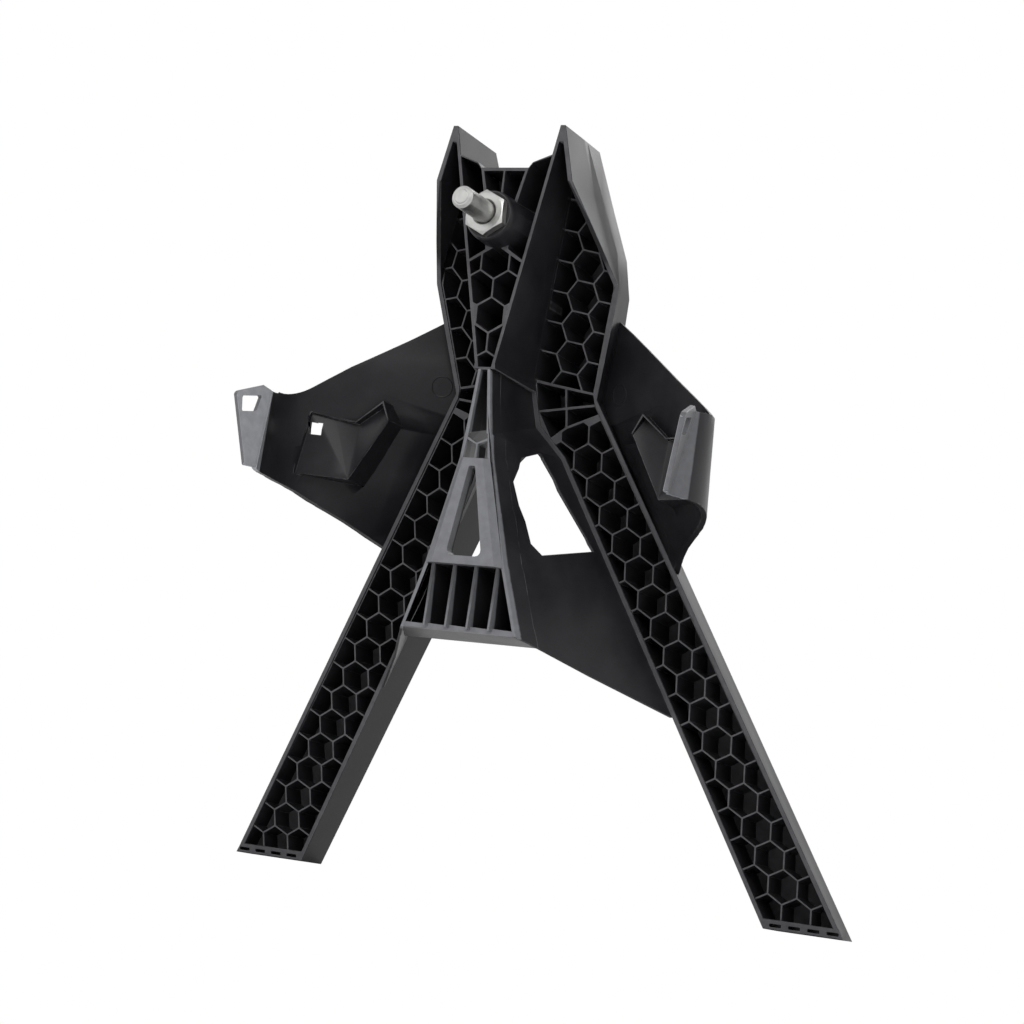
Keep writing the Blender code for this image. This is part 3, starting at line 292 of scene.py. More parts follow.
@dataclass(frozen=True)
class Finish:
    """A surface finish that turns into one material of a slot."""

    name: str
    colour: Colour
    roughness: float

    slot = Slot.NYLON

    def material(self) -> bpy.types.Material:
        """Builds the material, or finds it if it is there already.

        Returns:
            The material.
        """
        found = bpy.data.materials.get(self.name)
        if found is not None:
            return found
        made = bpy.data.materials.new(self.name)
        made.use_nodes = True
        self.fill(NodeTree(made.node_tree))
        return made

    def fill(self, tree: NodeTree) -> None:
        """Adds the nodes of the finish.

        Args:
            tree: Empty tree of the material.
        """
        raise NotImplementedError

    def close(self, tree: NodeTree, inputs: Inputs) -> None:
        """Ends a tree in a Principled shader."""
        shader = tree.node("ShaderNodeBsdfPrincipled", {}, inputs)
        tree.node("ShaderNodeOutputMaterial", {}, {"Surface": shader})


@dataclass(frozen=True)
class MouldedNylon(Finish):
    """Black glass filled nylon as it leaves the mould.

    The fine erosion grain of the tool shows as a bump, and wide flow marks change the gloss. Faces
    that look the way of the honeycomb face carry a painted sheen, a greyer colour that stands in for
    reflected light, and sharp edges are paler from wear and a painted highlight. A span holds
    the values of a noise or a measure that become 0 and 1.
    """

    # Pale tone of the flow haze, and of the sharp edges, which it pales by wear and a painted highlight.
    pale: Colour = (0.170, 0.168, 0.176)
    specular: float = 0.17
    # Painted sheen: faces that look this way, the way of the honeycomb face, get a paler colour that stands
    # in for reflected light.
    sheen_normal: Place = (0.0, -0.954, -0.300)
    sheen_normal_span: Span = (0.955, 0.985)
    front_sheen: Colour = (0.078, 0.076, 0.082)
    front_sheen_least: float = 0.6
    grain_size: float = 0.00045
    grain_height: float = 0.00004
    grain_strength: float = 0.35
    grain_gloss: float = 0.06
    flow_size: float = 0.030
    flow_gloss: float = 0.08
    flow_haze: float = 0.05
    haze_span: Span = (0.35, 0.70)
    gloss_span: Span = (0.3, 0.7)
    mottle_rate: float = 6.0
    mottle_span: Span = (0.2, 0.8)
    # Edges are paled by wear and by a painted highlight that stands in for light caught on their rounding.
    edge_wear_and_highlight_span: Span = (0.30, 0.75)
    edge_wear_and_highlight_share: float = 0.75
    edge_radius: float = 0.0006
    edge_span: Span = (0.01, 0.12)

    def fill(self, tree: NodeTree) -> None:
        """Adds the grain, the flow marks, and the edges paled by wear and a painted highlight.

        Args:
            tree: Empty tree of the material.
        """
        place = tree.node("ShaderNodeTexCoord", {}, {}, "Object")
        grain = place.noise(1 / self.grain_size, 3.0, 0.6)
        flow = place.noise(1 / self.flow_size, 4.0, 0.55)
        mottle = place.noise(self.mottle_rate / self.flow_size, 3.0, 0.6)
        # Wear and painted highlight: sharp edges and the narrow rib fronts get the pale colour.
        edge_wear_and_highlight = self.edge_mask(tree) * mottle.clamped(*self.edge_wear_and_highlight_span)
        haze = flow.clamped(*self.haze_span) * self.flow_haze
        cloudy = tree.mix(haze, self.ground(place, mottle), self.pale)
        colour = tree.mix(edge_wear_and_highlight * self.edge_wear_and_highlight_share, cloudy, self.pale)
        dull_flow = flow.clamped(*self.gloss_span) * self.flow_gloss
        dull_grain = grain.clamped(*self.gloss_span) * self.grain_gloss
        roughness = dull_flow + dull_grain + (self.roughness - 0.5 * (self.flow_gloss + self.grain_gloss))
        height = self.relief(place, grain)
        inputs = {"Strength": self.grain_strength, "Distance": self.grain_height, "Height": height}
        bump = tree.node("ShaderNodeBump", {}, inputs)
        gloss = {"Roughness": roughness, "Specular IOR Level": self.specular}
        self.close(tree, {"Base Color": colour, "Normal": bump, **gloss})

    def ground(self, place: Wire, mottle: Wire) -> Wire:
        """Colour of the open faces, with a painted sheen that makes the faces looking the way of the
        honeycomb face greyer.

        Args:
            place: Object coordinates.
            mottle: Slow noise.

        Returns:
            The colour.
        """
        normal = place.tree.node("ShaderNodeTexCoord", {}, {}, "Normal")
        # Painted sheen on the faces that look the way of the honeycomb face, made uneven by the slow noise.
        facing = normal.dot(self.sheen_normal).clamped(*self.sheen_normal_span)
        uneven = mottle.clamped(*self.mottle_span) * (1.0 - self.front_sheen_least) + self.front_sheen_least
        return place.tree.mix(facing * uneven, self.colour, self.front_sheen)

    def relief(self, place: Wire, grain: Wire) -> Wire:
        """Height of the surface: the grain, and what a finish adds to it."""
        return grain

    def edge_mask(self, tree: NodeTree) -> Wire:
        """Finds the sharp edges.

        Args:
            tree: Material's tree.

        Returns:
            1 along sharp edges and 0 on open faces.
        """
        soft = tree.node("ShaderNodeBevel", {"samples": 4}, {"Radius": self.edge_radius})
        normal = tree.node("ShaderNodeNewGeometry", {}, {}, "Normal")
        return (1.0 - soft.dot(normal)).clamped(*self.edge_span)


@dataclass(frozen=True)
class SheenPaintedNylon(MouldedNylon):
    """The same nylon with a painted sheen: greyer ahead of a leaning plane and beyond a distance from the
    middle.
    """

    grey: Colour = (0.270, 0.276, 0.295)
    grey_least: float = 0.7
    beyond_x: float = 0.0
    ahead_y: float = 0.0
    lean: float = 0.0
    strength: float = 0.8
    outer_share: float = 1.0
    outer_span: Span = (0.0, 0.02)
    border_noise: float = 0.0006
    border_span: Span = (0.0, 0.001)

    def ground(self, place: Wire, mottle: Wire) -> Wire:
        """Painted sheen: greyer beyond the limits, with an uneven border, and less so on faces that look
        outwards.

        Args:
            place: Object coordinates.
            mottle: Slow noise.

        Returns:
            The colour.
        """
        plain = super().ground(place, mottle)
        x, y, z = place.split()
        border = (mottle - 0.5) * self.border_noise
        beside = (x.unsigned() - self.beyond_x + border).clamped(*self.border_span)
        ahead = (self.ahead_y - z * self.lean - y + border).clamped(*self.border_span)
        turned = place.tree.node("ShaderNodeTexCoord", {}, {}, "Normal").split()[0]
        outward = 1.0 - (turned * x).clamped(*self.outer_span) * (1.0 - self.outer_share)
        uneven = mottle.clamped(*self.mottle_span) * (1.0 - self.grey_least) + self.grey_least
        # Painted sheen: a grey colour that stands in for light reflected by the keel's front and the wing
        # flanges.
        share = beside * ahead * uneven * outward * self.strength
        return place.tree.mix(share, plain, self.grey)


@dataclass(frozen=True)
class WingNylon(SheenPaintedNylon):
    """Nylon of the wings, with the round mark of an ejector pin beside the leg."""

    mark: Place = (0.0541, 0.0016, 0.2655)
    mark_radius: float = 0.0056
    mark_line: float = 0.0005
    mark_height: float = 24.0

    def relief(self, place: Wire, grain: Wire) -> Wire:
        """Adds a thin ring that stands a little above the grain.

        Args:
            place: Object coordinates.
            grain: Height of the grain.

        Returns:
            The height of the surface.
        """
        x, y, z = place.split()
        beside, ahead, above = x.unsigned() - self.mark[0], y - self.mark[1], z - self.mark[2]
        reach = (beside * beside + ahead * ahead + above * above).power(0.5) - self.mark_radius
        return grain + (1.0 - reach.unsigned().clamped(0.0, self.mark_line)) * self.mark_height


@dataclass(frozen=True)
class ZincPlate(Finish):
    """Dull zinc on turned steel, with faint turning marks and a hazy bloom."""

    bloom: Colour = (0.44, 0.44, 0.43)
    bloom_rate: float = 260.0
    bloom_span: Span = (0.35, 0.70)
    bloom_gloss: float = 0.16
    dull_span: Span = (0.30, 0.75)
    mark_size: float = 0.00035
    mark_rate: float = 0.15
    mark_stretch: Place = (1.0, 9.0, 1.0)
    mark_span: Span = (0.3, 0.7)
    mark_gloss: float = 0.06
    mark_height: float = 0.00003
    mark_strength: float = 0.25
    brightest: float = 0.08

    slot = Slot.ZINC

    def fill(self, tree: NodeTree) -> None:
        """Adds the turning marks and the bloom.

        Args:
            tree: Empty tree of the material.
        """
        place = tree.node("ShaderNodeTexCoord", {}, {}, "Object")
        stretched = tree.node("ShaderNodeMapping", {}, {"Vector": place, "Scale": self.mark_stretch})
        marks = stretched.noise(self.mark_rate / self.mark_size, 4.0, 0.6)
        cloud = place.noise(self.bloom_rate, 4.0, 0.6)
        colour = tree.mix(cloud.clamped(*self.bloom_span), self.colour, self.bloom)
        dull_cloud = cloud.clamped(*self.dull_span) * self.bloom_gloss
        dull_marks = marks.clamped(*self.mark_span) * self.mark_gloss
        roughness = dull_cloud + dull_marks + (self.roughness - self.brightest)
        inputs = {"Strength": self.mark_strength, "Distance": self.mark_height, "Height": marks}
        bump = tree.node("ShaderNodeBump", {}, inputs)
        self.close(tree, {"Base Color": colour, "Roughness": roughness, "Metallic": 1.0, "Normal": bump})


SATIN = MouldedNylon("satin_nylon", (0.0090, 0.0084, 0.0100), 0.34)
# The keel's front and the wing flanges carry a painted sheen, a grey that stands in for reflected light.
FRAME_GREY = SheenPaintedNylon("frame_nylon", SATIN.colour, 0.42, beyond_x=-0.01, ahead_y=-0.0196, lean=0.111,
                         strength=0.50)
FLANGE_GREY = WingNylon("wing_nylon", SATIN.colour, 0.36, beyond_x=0.1165, ahead_y=-0.0560, strength=1.0,
                        outer_share=0.35)
BRIGHT = ZincPlate("bright_zinc", (0.36, 0.36, 0.35), 0.38)


@dataclass(frozen=True)
class Lamp:
    """A round soft box."""

    name: str
    place: Place
    size: float
    power: float

    def hang(self, aim: Place) -> None:
        """Hangs the lamp.

        Args:
            aim: Place that it shines on.
        """
        data = bpy.data.lights.new(self.name, "AREA")
        data.shape = "DISK"
        data.size = self.size
        data.energy = self.power
        away = Vector(aim) - Vector(self.place)
        turn = away.to_track_quat("-Z", "Y").to_matrix()
        linked(self.name, data).matrix_world = Matrix.Translation(self.place) @ turn.to_4x4()


@dataclass
class Studio:
    """White sweep, soft lamps and the camera of the picture."""

    frame_px: float = 1024.0
    focal_px: float = 2600.01
    sensor: float = 36.0
    camera_place: Place = (0.6456037, -1.2161578, -0.0136308)
    right: Place = (0.8843929732403845, 0.44254519436307715, 0.14833347507956138)
    down: Place = (0.06218812791864159, 0.2032457697533281, -0.9771508552026916)
    forward: Place = (-0.4625815664604538, 0.8734099312599571, 0.15222807345384526)
    clip: Span = (0.01, 50.0)
    floor_reach: float = 6.0
    floor_colour: Colour = (0.80, 0.80, 0.80)
    floor_roughness: float = 0.85
    world_level: float = 0.85
    aim: Place = (0.0, 0.0, 0.2)
    lamps: tuple[Lamp, ...] = (
        Lamp("key_lamp", (0.9, -1.7, 1.2), 1.3, 20.0),
        Lamp("fill_lamp", (-1.4, -1.2, 0.7), 1.2, 6.0),
        Lamp("side_lamp", (1.6, -0.2, 0.9), 1.0, 2.5),
        Lamp("back_lamp", (0.2, 1.5, 1.4), 1.0, 5.5),
    )

    def build(self) -> None:
        """Makes the camera, floor, world and lamps."""
        self.camera()
        self.floor()
        self.world()
        for lamp in self.lamps:
            lamp.hang(self.aim)

    def camera(self) -> None:
        """Puts the camera where the picture was taken from, a little under the level of the feet."""
        data = bpy.data.cameras.new("camera")
        data.sensor_width = self.sensor
        data.lens = self.focal_px / self.frame_px * self.sensor
        data.clip_start, data.clip_end = self.clip
        made = linked("camera", data)
        columns = [Vector(self.right), -Vector(self.down), -Vector(self.forward)]
        turn = Matrix(columns).transposed()
        made.matrix_world = Matrix.Translation(self.camera_place) @ turn.to_4x4()
        bpy.context.scene.camera = made

    def floor(self) -> None:
        """Lays the floor, which can be looked through from underneath."""
        reach = self.floor_reach
        mesh = bpy.data.meshes.new("floor")
        corners = [(-reach, -reach, 0.0), (reach, -reach, 0.0), (reach, reach, 0.0), (-reach, reach, 0.0)]
        mesh.from_pydata(corners, [], [(0, 1, 2, 3)])
        look = bpy.data.materials.new("pale_floor")
        look.use_nodes = True
        tree = NodeTree(look.node_tree)
        inputs = {"Base Color": (*self.floor_colour, 1.0), "Roughness": self.floor_roughness}
        paint = tree.node("ShaderNodeBsdfPrincipled", {}, inputs)
        clear = tree.node("ShaderNodeBsdfTransparent")
        under = tree.node("ShaderNodeNewGeometry", {}, {}, "Backfacing")
        both = tree.node("ShaderNodeMixShader", {}, {0: under, 1: paint, 2: clear})
        tree.node("ShaderNodeOutputMaterial", {}, {"Surface": both})
        mesh.materials.append(look)
        linked("floor", mesh)

    def world(self) -> None:
        """White where the camera, a reflection or a refraction meets it, and a soft level elsewhere."""
        made = bpy.data.worlds.new("sweep")
        made.use_nodes = True
        bpy.context.scene.world = made
        tree = NodeTree(made.node_tree)
        rays = (f"Is {kind} Ray" for kind in ("Camera", "Glossy", "Transmission"))
        seen, gloss, through = (tree.node("ShaderNodeLightPath", {}, {}, ray) for ray in rays)
        shown = (seen + gloss + through).clamped(0.0, 1.0)
        strength = shown * (1.0 - self.world_level) + self.world_level
        back = tree.node("ShaderNodeBackground", {}, {"Color": (1.0, 1.0, 1.0, 1.0), "Strength": strength})
        tree.node("ShaderNodeOutputWorld", {}, {"Surface": back})


def linked(name: str, data: bpy.types.ID) -> Piece:
    """Puts an object into the scene.

    Args:
        name: Name of the object.
        data: Mesh, lamp or camera that it shows.

    Returns:
        The object.
    """
    made = bpy.data.objects.new(name, data)
    bpy.context.scene.collection.objects.link(made)
    return made


def settled(piece: Piece) -> Piece:
    """Turns a piece's modifiers into plain mesh.

    Args:
        piece: Object with modifiers.

    Returns:
        The same object, without modifiers.
    """
    bpy.context.view_layer.update()
    graph = bpy.context.evaluated_depsgraph_get()
    mesh = bpy.data.meshes.new_from_object(piece.evaluated_get(graph))
    piece.modifiers.clear()
    piece.data = mesh
    return piece


def rounded(piece: Piece, width: float, near: Test, shortest: float, angle: float = 25.0) -> Piece:
    """Rounds the sharp edges of a piece as a mould's edges are.

    Args:
        piece: Closed solid with flat faces.
        width: Width of the rounding, in metres.
        near: Tells whether a place lies on a seam, where edges stay as they are.
        shortest: Edges shorter than this many metres stay.
        angle: Edges that turn less than this many degrees stay.

    Returns:
        The same object, as plain mesh.
    """
    shape = bmesh.new()
    shape.from_mesh(piece.data)
    weight = shape.edges.layers.float.new("bevel_weight_edge")
    for edge in shape.edges:
        first, last = (vert.co for vert in edge.verts)
        turned = edge.calc_face_angle(0.0) > radians(angle)
        seam = all(near(place) for place in (first, 0.5 * (first + last), last))
        edge[weight] = float(turned and edge.calc_length() > shortest and not seam)
    shape.to_mesh(piece.data)
    shape.free()
    bevel = piece.modifiers.new("edges", "BEVEL")
    bevel.width = width
    bevel.segments = 2
    bevel.limit_method = "WEIGHT"
    bevel.use_clamp_overlap = False
    bevel.miter_outer = "MITER_ARC"
    return settled(piece)


def placed(piece: Piece, node: str, finish: Finish, body: Body) -> None:
    """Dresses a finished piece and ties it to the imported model.

    Args:
        piece: Plain mesh object at the origin.
        node: Node that it stands for.
        finish: Finish of its surface, which knows the material slot.
        body: Body that it rides on.
    """
    piece.data.name = piece.name
    if not piece.data.materials:
        piece.data.materials.append(finish.material())
    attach(piece, body.value)
    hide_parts(node)
    LOG.info("%s: %d faces on %s", piece.name, len(piece.data.polygons), body.value)


def flat_outline(points: Outline, distances: Sequence[float]) -> Outline:
    """Moves each edge of a closed (x, z) outline inwards.

    Args:
        points: Corners, counter-clockwise.
        distances: How far each edge moves, in metres.

    Returns:
        The corners of the smaller outline.
    """
    lines = []
    for start, end, distance in zip(points, [*points[1:], points[0]], distances):
        first = Vector(start)
        run = (Vector(end) - first).normalized()
        lines.append((first + Vector((-run.y, run.x)) * distance, run))
    moved = []
    for index, (other, turn) in enumerate(lines):
        point, run = lines[index - 1]
        gap = other - point
        share = (gap.x * turn.y - gap.y * turn.x) / (run.x * turn.y - run.y * turn.x)
        moved.append(tuple(point + run * share))
    return moved


def within(points: Outline, x: float, z: float) -> bool:
    """Whether a place lies inside a closed (x, z) outline.

    Args:
        points: Corners of the outline.
        x: x of the place.
        z: z of the place.

    Returns:
        True for inside.
    """
    found = False
    for index, (x1, z1) in enumerate(points):
        x0, z0 = points[index - 1]
        if (z0 > z) != (z1 > z) and x < (x1 - x0) * (z - z0) / (z1 - z0) + x0:
            found = not found
    return found


def between(low: Point, high: Point, z: float) -> float:
    """x of the straight line through two (x, z) points, at a height."""
    return low[0] + (high[0] - low[0]) * (z - low[1]) / (high[1] - low[1])


def along(corners: Outline, z: float) -> float:
    """Follows a line through (x, z) corners.

    Args:
        corners: Corners, from the lowest up.
        z: Height of the place.

    Returns:
        x of the line at that height, and x of the last corner above it.
    """
    for low, high in zip(corners, corners[1:]):
        if z < high[1]:
            return between(low, high, z)
    return corners[-1][0]


def lofted(name: str, rings: Sequence[Sequence[Place]]) -> Piece:
    """A closed solid through rings of equally many places.

    Args:
        name: Name of the object.
        rings: Rings of places, from front to back.

    Returns:
        The object.
    """
    shape = bmesh.new()
    rows = [[shape.verts.new(place) for place in ring] for ring in rings]
    for near, far in zip(rows, rows[1:]):
        for index in range(len(near)):
            after = (index + 1) % len(near)
            shape.faces.new((near[index], near[after], far[after], far[index]))
    shape.faces.new(rows[0])
    shape.faces.new(rows[-1])
    bmesh.ops.triangulate(shape, faces=shape.faces)
    bmesh.ops.recalc_face_normals(shape, faces=shape.faces)
    mesh = bpy.data.meshes.new(name)
    shape.to_mesh(mesh)
    shape.free()
    return linked(name, mesh)


def combined(piece: Piece, tool: Piece, operation: str) -> Piece:
    """Applies an exact Boolean and removes the tool.

    Args:
        piece: Object that is changed.
        tool: Object that it is combined with.
        operation: UNION, DIFFERENCE or INTERSECT.

    Returns:
        The changed object.
    """
    modifier = piece.modifiers.new(operation.lower(), "BOOLEAN")
    modifier.operation = operation
    modifier.object = tool
    modifier.solver = "EXACT"
    settled(piece)
    bpy.data.objects.remove(tool, do_unlink=True)
    return welded(piece)


def welded(piece: Piece, reach: float = 1e-6, flatness: float = 0.0) -> Piece:
    """Welds what a Boolean left double, and joins flat triangles into whole faces.

    Args:
        piece: Plain mesh object.
        reach: Distance that is closed, in metres.
        flatness: Faces that turn less than this many degrees are joined.

    Returns:
        The same object.
    """
    shape = bmesh.new()
    shape.from_mesh(piece.data)
    bmesh.ops.remove_doubles(shape, verts=shape.verts, dist=reach)
    bmesh.ops.dissolve_degenerate(shape, edges=shape.edges, dist=reach)
    if flatness:
        bmesh.ops.dissolve_limit(shape, angle_limit=radians(flatness), verts=shape.verts, edges=shape.edges)
    shape.to_mesh(piece.data)
    shape.free()
    return piece


def tidied(piece: Piece) -> Piece:
    """Welds a piece's doubles and joins its flat triangles into whole faces."""
    return welded(piece, reach=2e-6, flatness=0.4)


def shaded(piece: Piece, angle: float = 32.0) -> Piece:
    """Shades a piece smooth, apart from its sharp edges and its wide flat faces.

    Args:
        piece: Plain mesh object.
        angle: Edges that turn more than this many degrees are sharp.

    Returns:
        The same object.
    """
    piece.data.shade_smooth()
    piece.data.set_sharp_from_angle(angle=radians(angle))
    weighted = piece.modifiers.new("normals", "WEIGHTED_NORMAL")
    weighted.keep_sharp = True
    return settled(piece)


@dataclass(frozen=True)
class Mould:
    """Leaning planes, levels and outline that every part of the moulding is drawn from."""

    shift: float = -0.0743
    leg_front: float = 0.1554
    leg_lean: float = radians(17.6)
    back_depth: float = 0.1780
    back_lean: float = radians(20.2)
    back_skew: float = radians(10.0)
    wall: float = 0.0026
    prong_wall: float = 0.0018
    rib: float = 0.0011
    skin: float = 0.0024
    sole: float = 0.0053
    tip_solid: float = 0.0085
    recess: float = 0.0008
    crease: float = 0.27
    foot_inner: Point = (0.1432, 0.0)
    foot_outer: Point = (0.1881, 0.0)
    waist: Point = (0.0428, 0.2615)
    shoulder: Point = (0.0552, 0.3180)
    cheek: Point = (0.0492, 0.3372)
    kink: Point = (0.0403, 0.3633)
    tip_outer: Point = (0.0333, 0.3924)
    tip_inner: Point = (0.0303, 0.3924)
    narrow: Point = (0.0036, 0.2650)
    stem: Point = (0.006544, 0.24575)
    crotch: Point = (0.0220, 0.2300)
    crease_draft: tuple[float, ...] = (0.0, 0.0009, 0.0013, -0.0020, -0.0022, 0.0003)
    back_draft: tuple[float, ...] = (0.0, 0.0034, 0.0042, -0.0004, -0.0011, 0.0006)

    def front(self, z: float) -> float:
        """Depth of the honeycomb face of the legs."""
        return self.leg_front + self.shift - tan(self.leg_lean) * z

    def back(self, x: float, z: float) -> float:
        """Depth of the closed back of the legs."""
        skewed = tan(self.back_skew) * (abs(x) - self.foot_inner[0])
        return self.back_depth + self.shift - skewed - tan(self.back_lean) * z

    def outer_corners(self) -> Outline:
        """Corners of the outer wall from the foot to the tip."""
        return [self.foot_outer, self.waist, self.shoulder, self.cheek, self.kink, self.tip_outer]

    def outer_x(self, z: float) -> float:
        """x of the outer wall at a height."""
        return along(self.outer_corners(), z)

    def rim_x(self, z: float) -> float:
        """x of the inner front rim at a height."""
        return along([self.foot_inner, self.crotch, self.stem, self.narrow, self.tip_inner], z)

    def drafted(self, points: Outline, drafts: Sequence[float]) -> Outline:
        """An outline whose outer edge is drawn in as the mould's draft asks.

        Args:
            points: Corners of the outline.
            drafts: How far the wall is drawn in at each corner of the outer wall.

        Returns:
            The drawn in outline.
        """
        steps = [(draft, corner[1]) for draft, corner in zip(drafts, self.outer_corners())]
        moved = []
        for x, z in points:
            outside = x > 0.5 * (self.rim_x(z) + self.outer_x(z))
            moved.append((x - along(steps, z) if outside else x, z))
        return moved

    def solid(self, name: str, points: Outline, before: float, behind: float) -> Piece:
        """A closed solid that follows the drafted outer wall.

        Args:
            name: Name of the object.
            points: Outline at the front of the leg.
            before: How far its front lies behind the honeycomb face; less than zero lies ahead of it.
            behind: How far its back lies ahead of the closed back.

        Returns:
            The object.
        """
        middle = []
        for x, z in self.drafted(points, self.crease_draft):
            middle.append((x, self.front(z) + self.crease * (self.back(x, z) - self.front(z)), z))
        front = [(x, self.front(z) + before, z) for x, z in points]
        back = [(x, self.back(x, z) - behind, z) for x, z in self.drafted(points, self.back_draft)]
        return lofted(name, [front, middle, back])


MOULD = Mould()


@dataclass
class Honeycomb:
    """Cells of one lattice, cut into a filled form with cutters that Geometry Nodes makes."""

    name: str
    region: Outline
    centre: Point
    turn: float
    side: float = 0.0095
    over: float = 0.00005
    least: float = 0.14
    trials: int = 8
    border_ahead: float = 0.01
    ahead: float = 0.003
    mouth: float = 0.00022
    draft: float = 0.97
    weld: float = 0.00001

    def share(self, x: float, z: float) -> float:
        """Rough share of a cell that lies in the region.

        Args:
            x: x of the centre.
            z: z of the centre.

        Returns:
            0 for outside and 1 for inside.
        """
        hits = 0
        reach = self.side - MOULD.rib / sqrt(3)
        for corner in range(6):
            angle = self.turn + radians(30 + 60 * corner)
            across, up = reach * cos(angle), cos(MOULD.leg_lean) * reach * sin(angle)
            for step in range(1, self.trials + 1):
                part = sqrt(step / self.trials)
                hits += within(self.region, x + across * part, z + up * part)
        return hits / (6 * self.trials)

    def centres(self) -> Outline:
        """Finds the cells that have enough room in the region.

        Returns:
            Centres of the cells.
        """
        pitch = sqrt(3) * self.side
        reach = max(max(abs(x - self.centre[0]), abs(z - self.centre[1])) for x, z in self.region)
        steps = int(reach / pitch) + 2
        found = []
        for row in range(-steps, steps + 1):
            for column in range(-steps, steps + 1):
                across = pitch * (column + 0.5 * (row % 2))
                up = 1.5 * self.side * row
                x = self.centre[0] + across * cos(self.turn) - up * sin(self.turn)
                rise = across * sin(self.turn) + up * cos(self.turn)
                z = self.centre[1] + cos(MOULD.leg_lean) * rise
                if self.share(x, z) >= self.least:
                    found.append((x, z))
        return found

    def cut(self, piece: Piece, finish: Finish) -> Piece:
        """Cuts the cells out of a filled form.

        Args:
            piece: Filled form.
            finish: Finish of the result.

        Returns:
            The cut form as plain mesh.
        """
        points = bpy.data.meshes.new(self.name)
        points.from_pydata([(x, 0.0, z) for x, z in self.centres()], [], [])
        cells = linked(self.name, points)
        tree = FormTree(self.name)
        cutters = tree.spread(tree.host(), self.cutter(tree))
        inputs = {"Geometry": cutters, "Position": self.ring_places(tree)}
        tree.finish(tree.node("GeometryNodeSetPosition", {}, inputs), finish)
        tree.run(cells)
        border = MOULD.solid("border", self.region, -self.border_ahead, 0.5 * MOULD.skin)
        return combined(piece, combined(cells, border, "INTERSECT"), "DIFFERENCE")

    def cutter(self, tree: FormTree) -> Wire:
        """Form that cuts one cell: flared at the mouth and narrower at the floor.

        Args:
            tree: Group that makes the cutters.

        Returns:
            A closed form with rings at y = 0, 1, 2 and 3.
        """
        reach = tree.given("Cell side", self.side) - tree.given("Rib", MOULD.rib) * (1 / sqrt(3))
        mouth = tree.given("Mouth", self.mouth)
        inputs = {"Resolution": 6, "Radius": reach}
        ring = tree.node("GeometryNodeCurvePrimitiveCircle", {"mode": "RADIUS"}, inputs)
        face = tree.node("GeometryNodeFillCurve", {"mode": "NGONS"}, {"Curve": ring})
        turned = tree.moved(face, (0.0, 0.0, radians(30) - self.turn))
        flare = (reach + mouth * 2) / reach
        squash = tree.given("Squash", cos(MOULD.leg_lean))
        wide = tree.moved(turned, scale=tree.vector(flare, squash * flare, 1.0))
        form, top = wide, True
        for scale in (1.0, 1 / flare, self.draft):
            inputs = {"Mesh": form, "Selection": top, "Offset Scale": 1.0}
            long = tree.node("GeometryNodeExtrudeMesh", {"mode": "FACES"}, inputs)
            top = Wire(tree, long.socket.node.outputs["Top"])
            inputs = {"Geometry": long, "Selection": top, "Scale": scale}
            form = tree.node("GeometryNodeScaleElements", {"domain": "FACE"}, inputs)
        lid = tree.node("GeometryNodeFlipFaces", {}, {0: wide})
        joined = tree.node("GeometryNodeJoinGeometry", {}, {0: [form, lid]})
        closed = tree.node("GeometryNodeMergeByDistance", {}, {"Geometry": joined, "Distance": self.weld})
        return tree.moved(closed, (radians(-90), 0.0, 0.0))

    def ring_places(self, tree: FormTree) -> Wire:
        """Moves a cutter's four rings: ahead of the face, just ahead, just under it and on the floor.

        Args:
            tree: Group that makes the cutters.

        Returns:
            Place of each point.
        """
        x, station, z = tree.node("GeometryNodeInputPosition").split()
        mould = MOULD
        front = mould.leg_front + mould.shift + mould.recess - self.over
        sunk = mould.back_depth + mould.shift - mould.skin + tan(mould.back_skew) * mould.foot_inner[0]
        face = tree.given("Face depth", front) - tree.given("Face lean", tan(mould.leg_lean)) * z
        floor = tree.given("Floor depth", sunk) - tree.given("Floor lean", tan(mould.back_lean)) * z
        floor = floor - tree.given("Floor skew", tan(mould.back_skew)) * x
        mouth = tree.given("Mouth depth", self.mouth)
        ahead = face - tree.given("Clearance ahead", self.ahead)
        first, second, third = (station.clamped(step, step + 1.0) for step in (0.0, 1.0, 2.0))
        depth = ahead + first * (face - mouth - ahead) + second * mouth * 2 + third * (floor - face - mouth)
        return tree.vector(x, depth, z)


def surface(node: str) -> BVHTree:
    """Makes a surface to look for the nearest place on.

    Args:
        node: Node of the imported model.

    Returns:
        Its surface.
    """
    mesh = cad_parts[node].data
    corners = [vert.co.copy() for vert in mesh.vertices]
    return BVHTree.FromPolygons(corners, [tuple(face.vertices) for face in mesh.polygons])


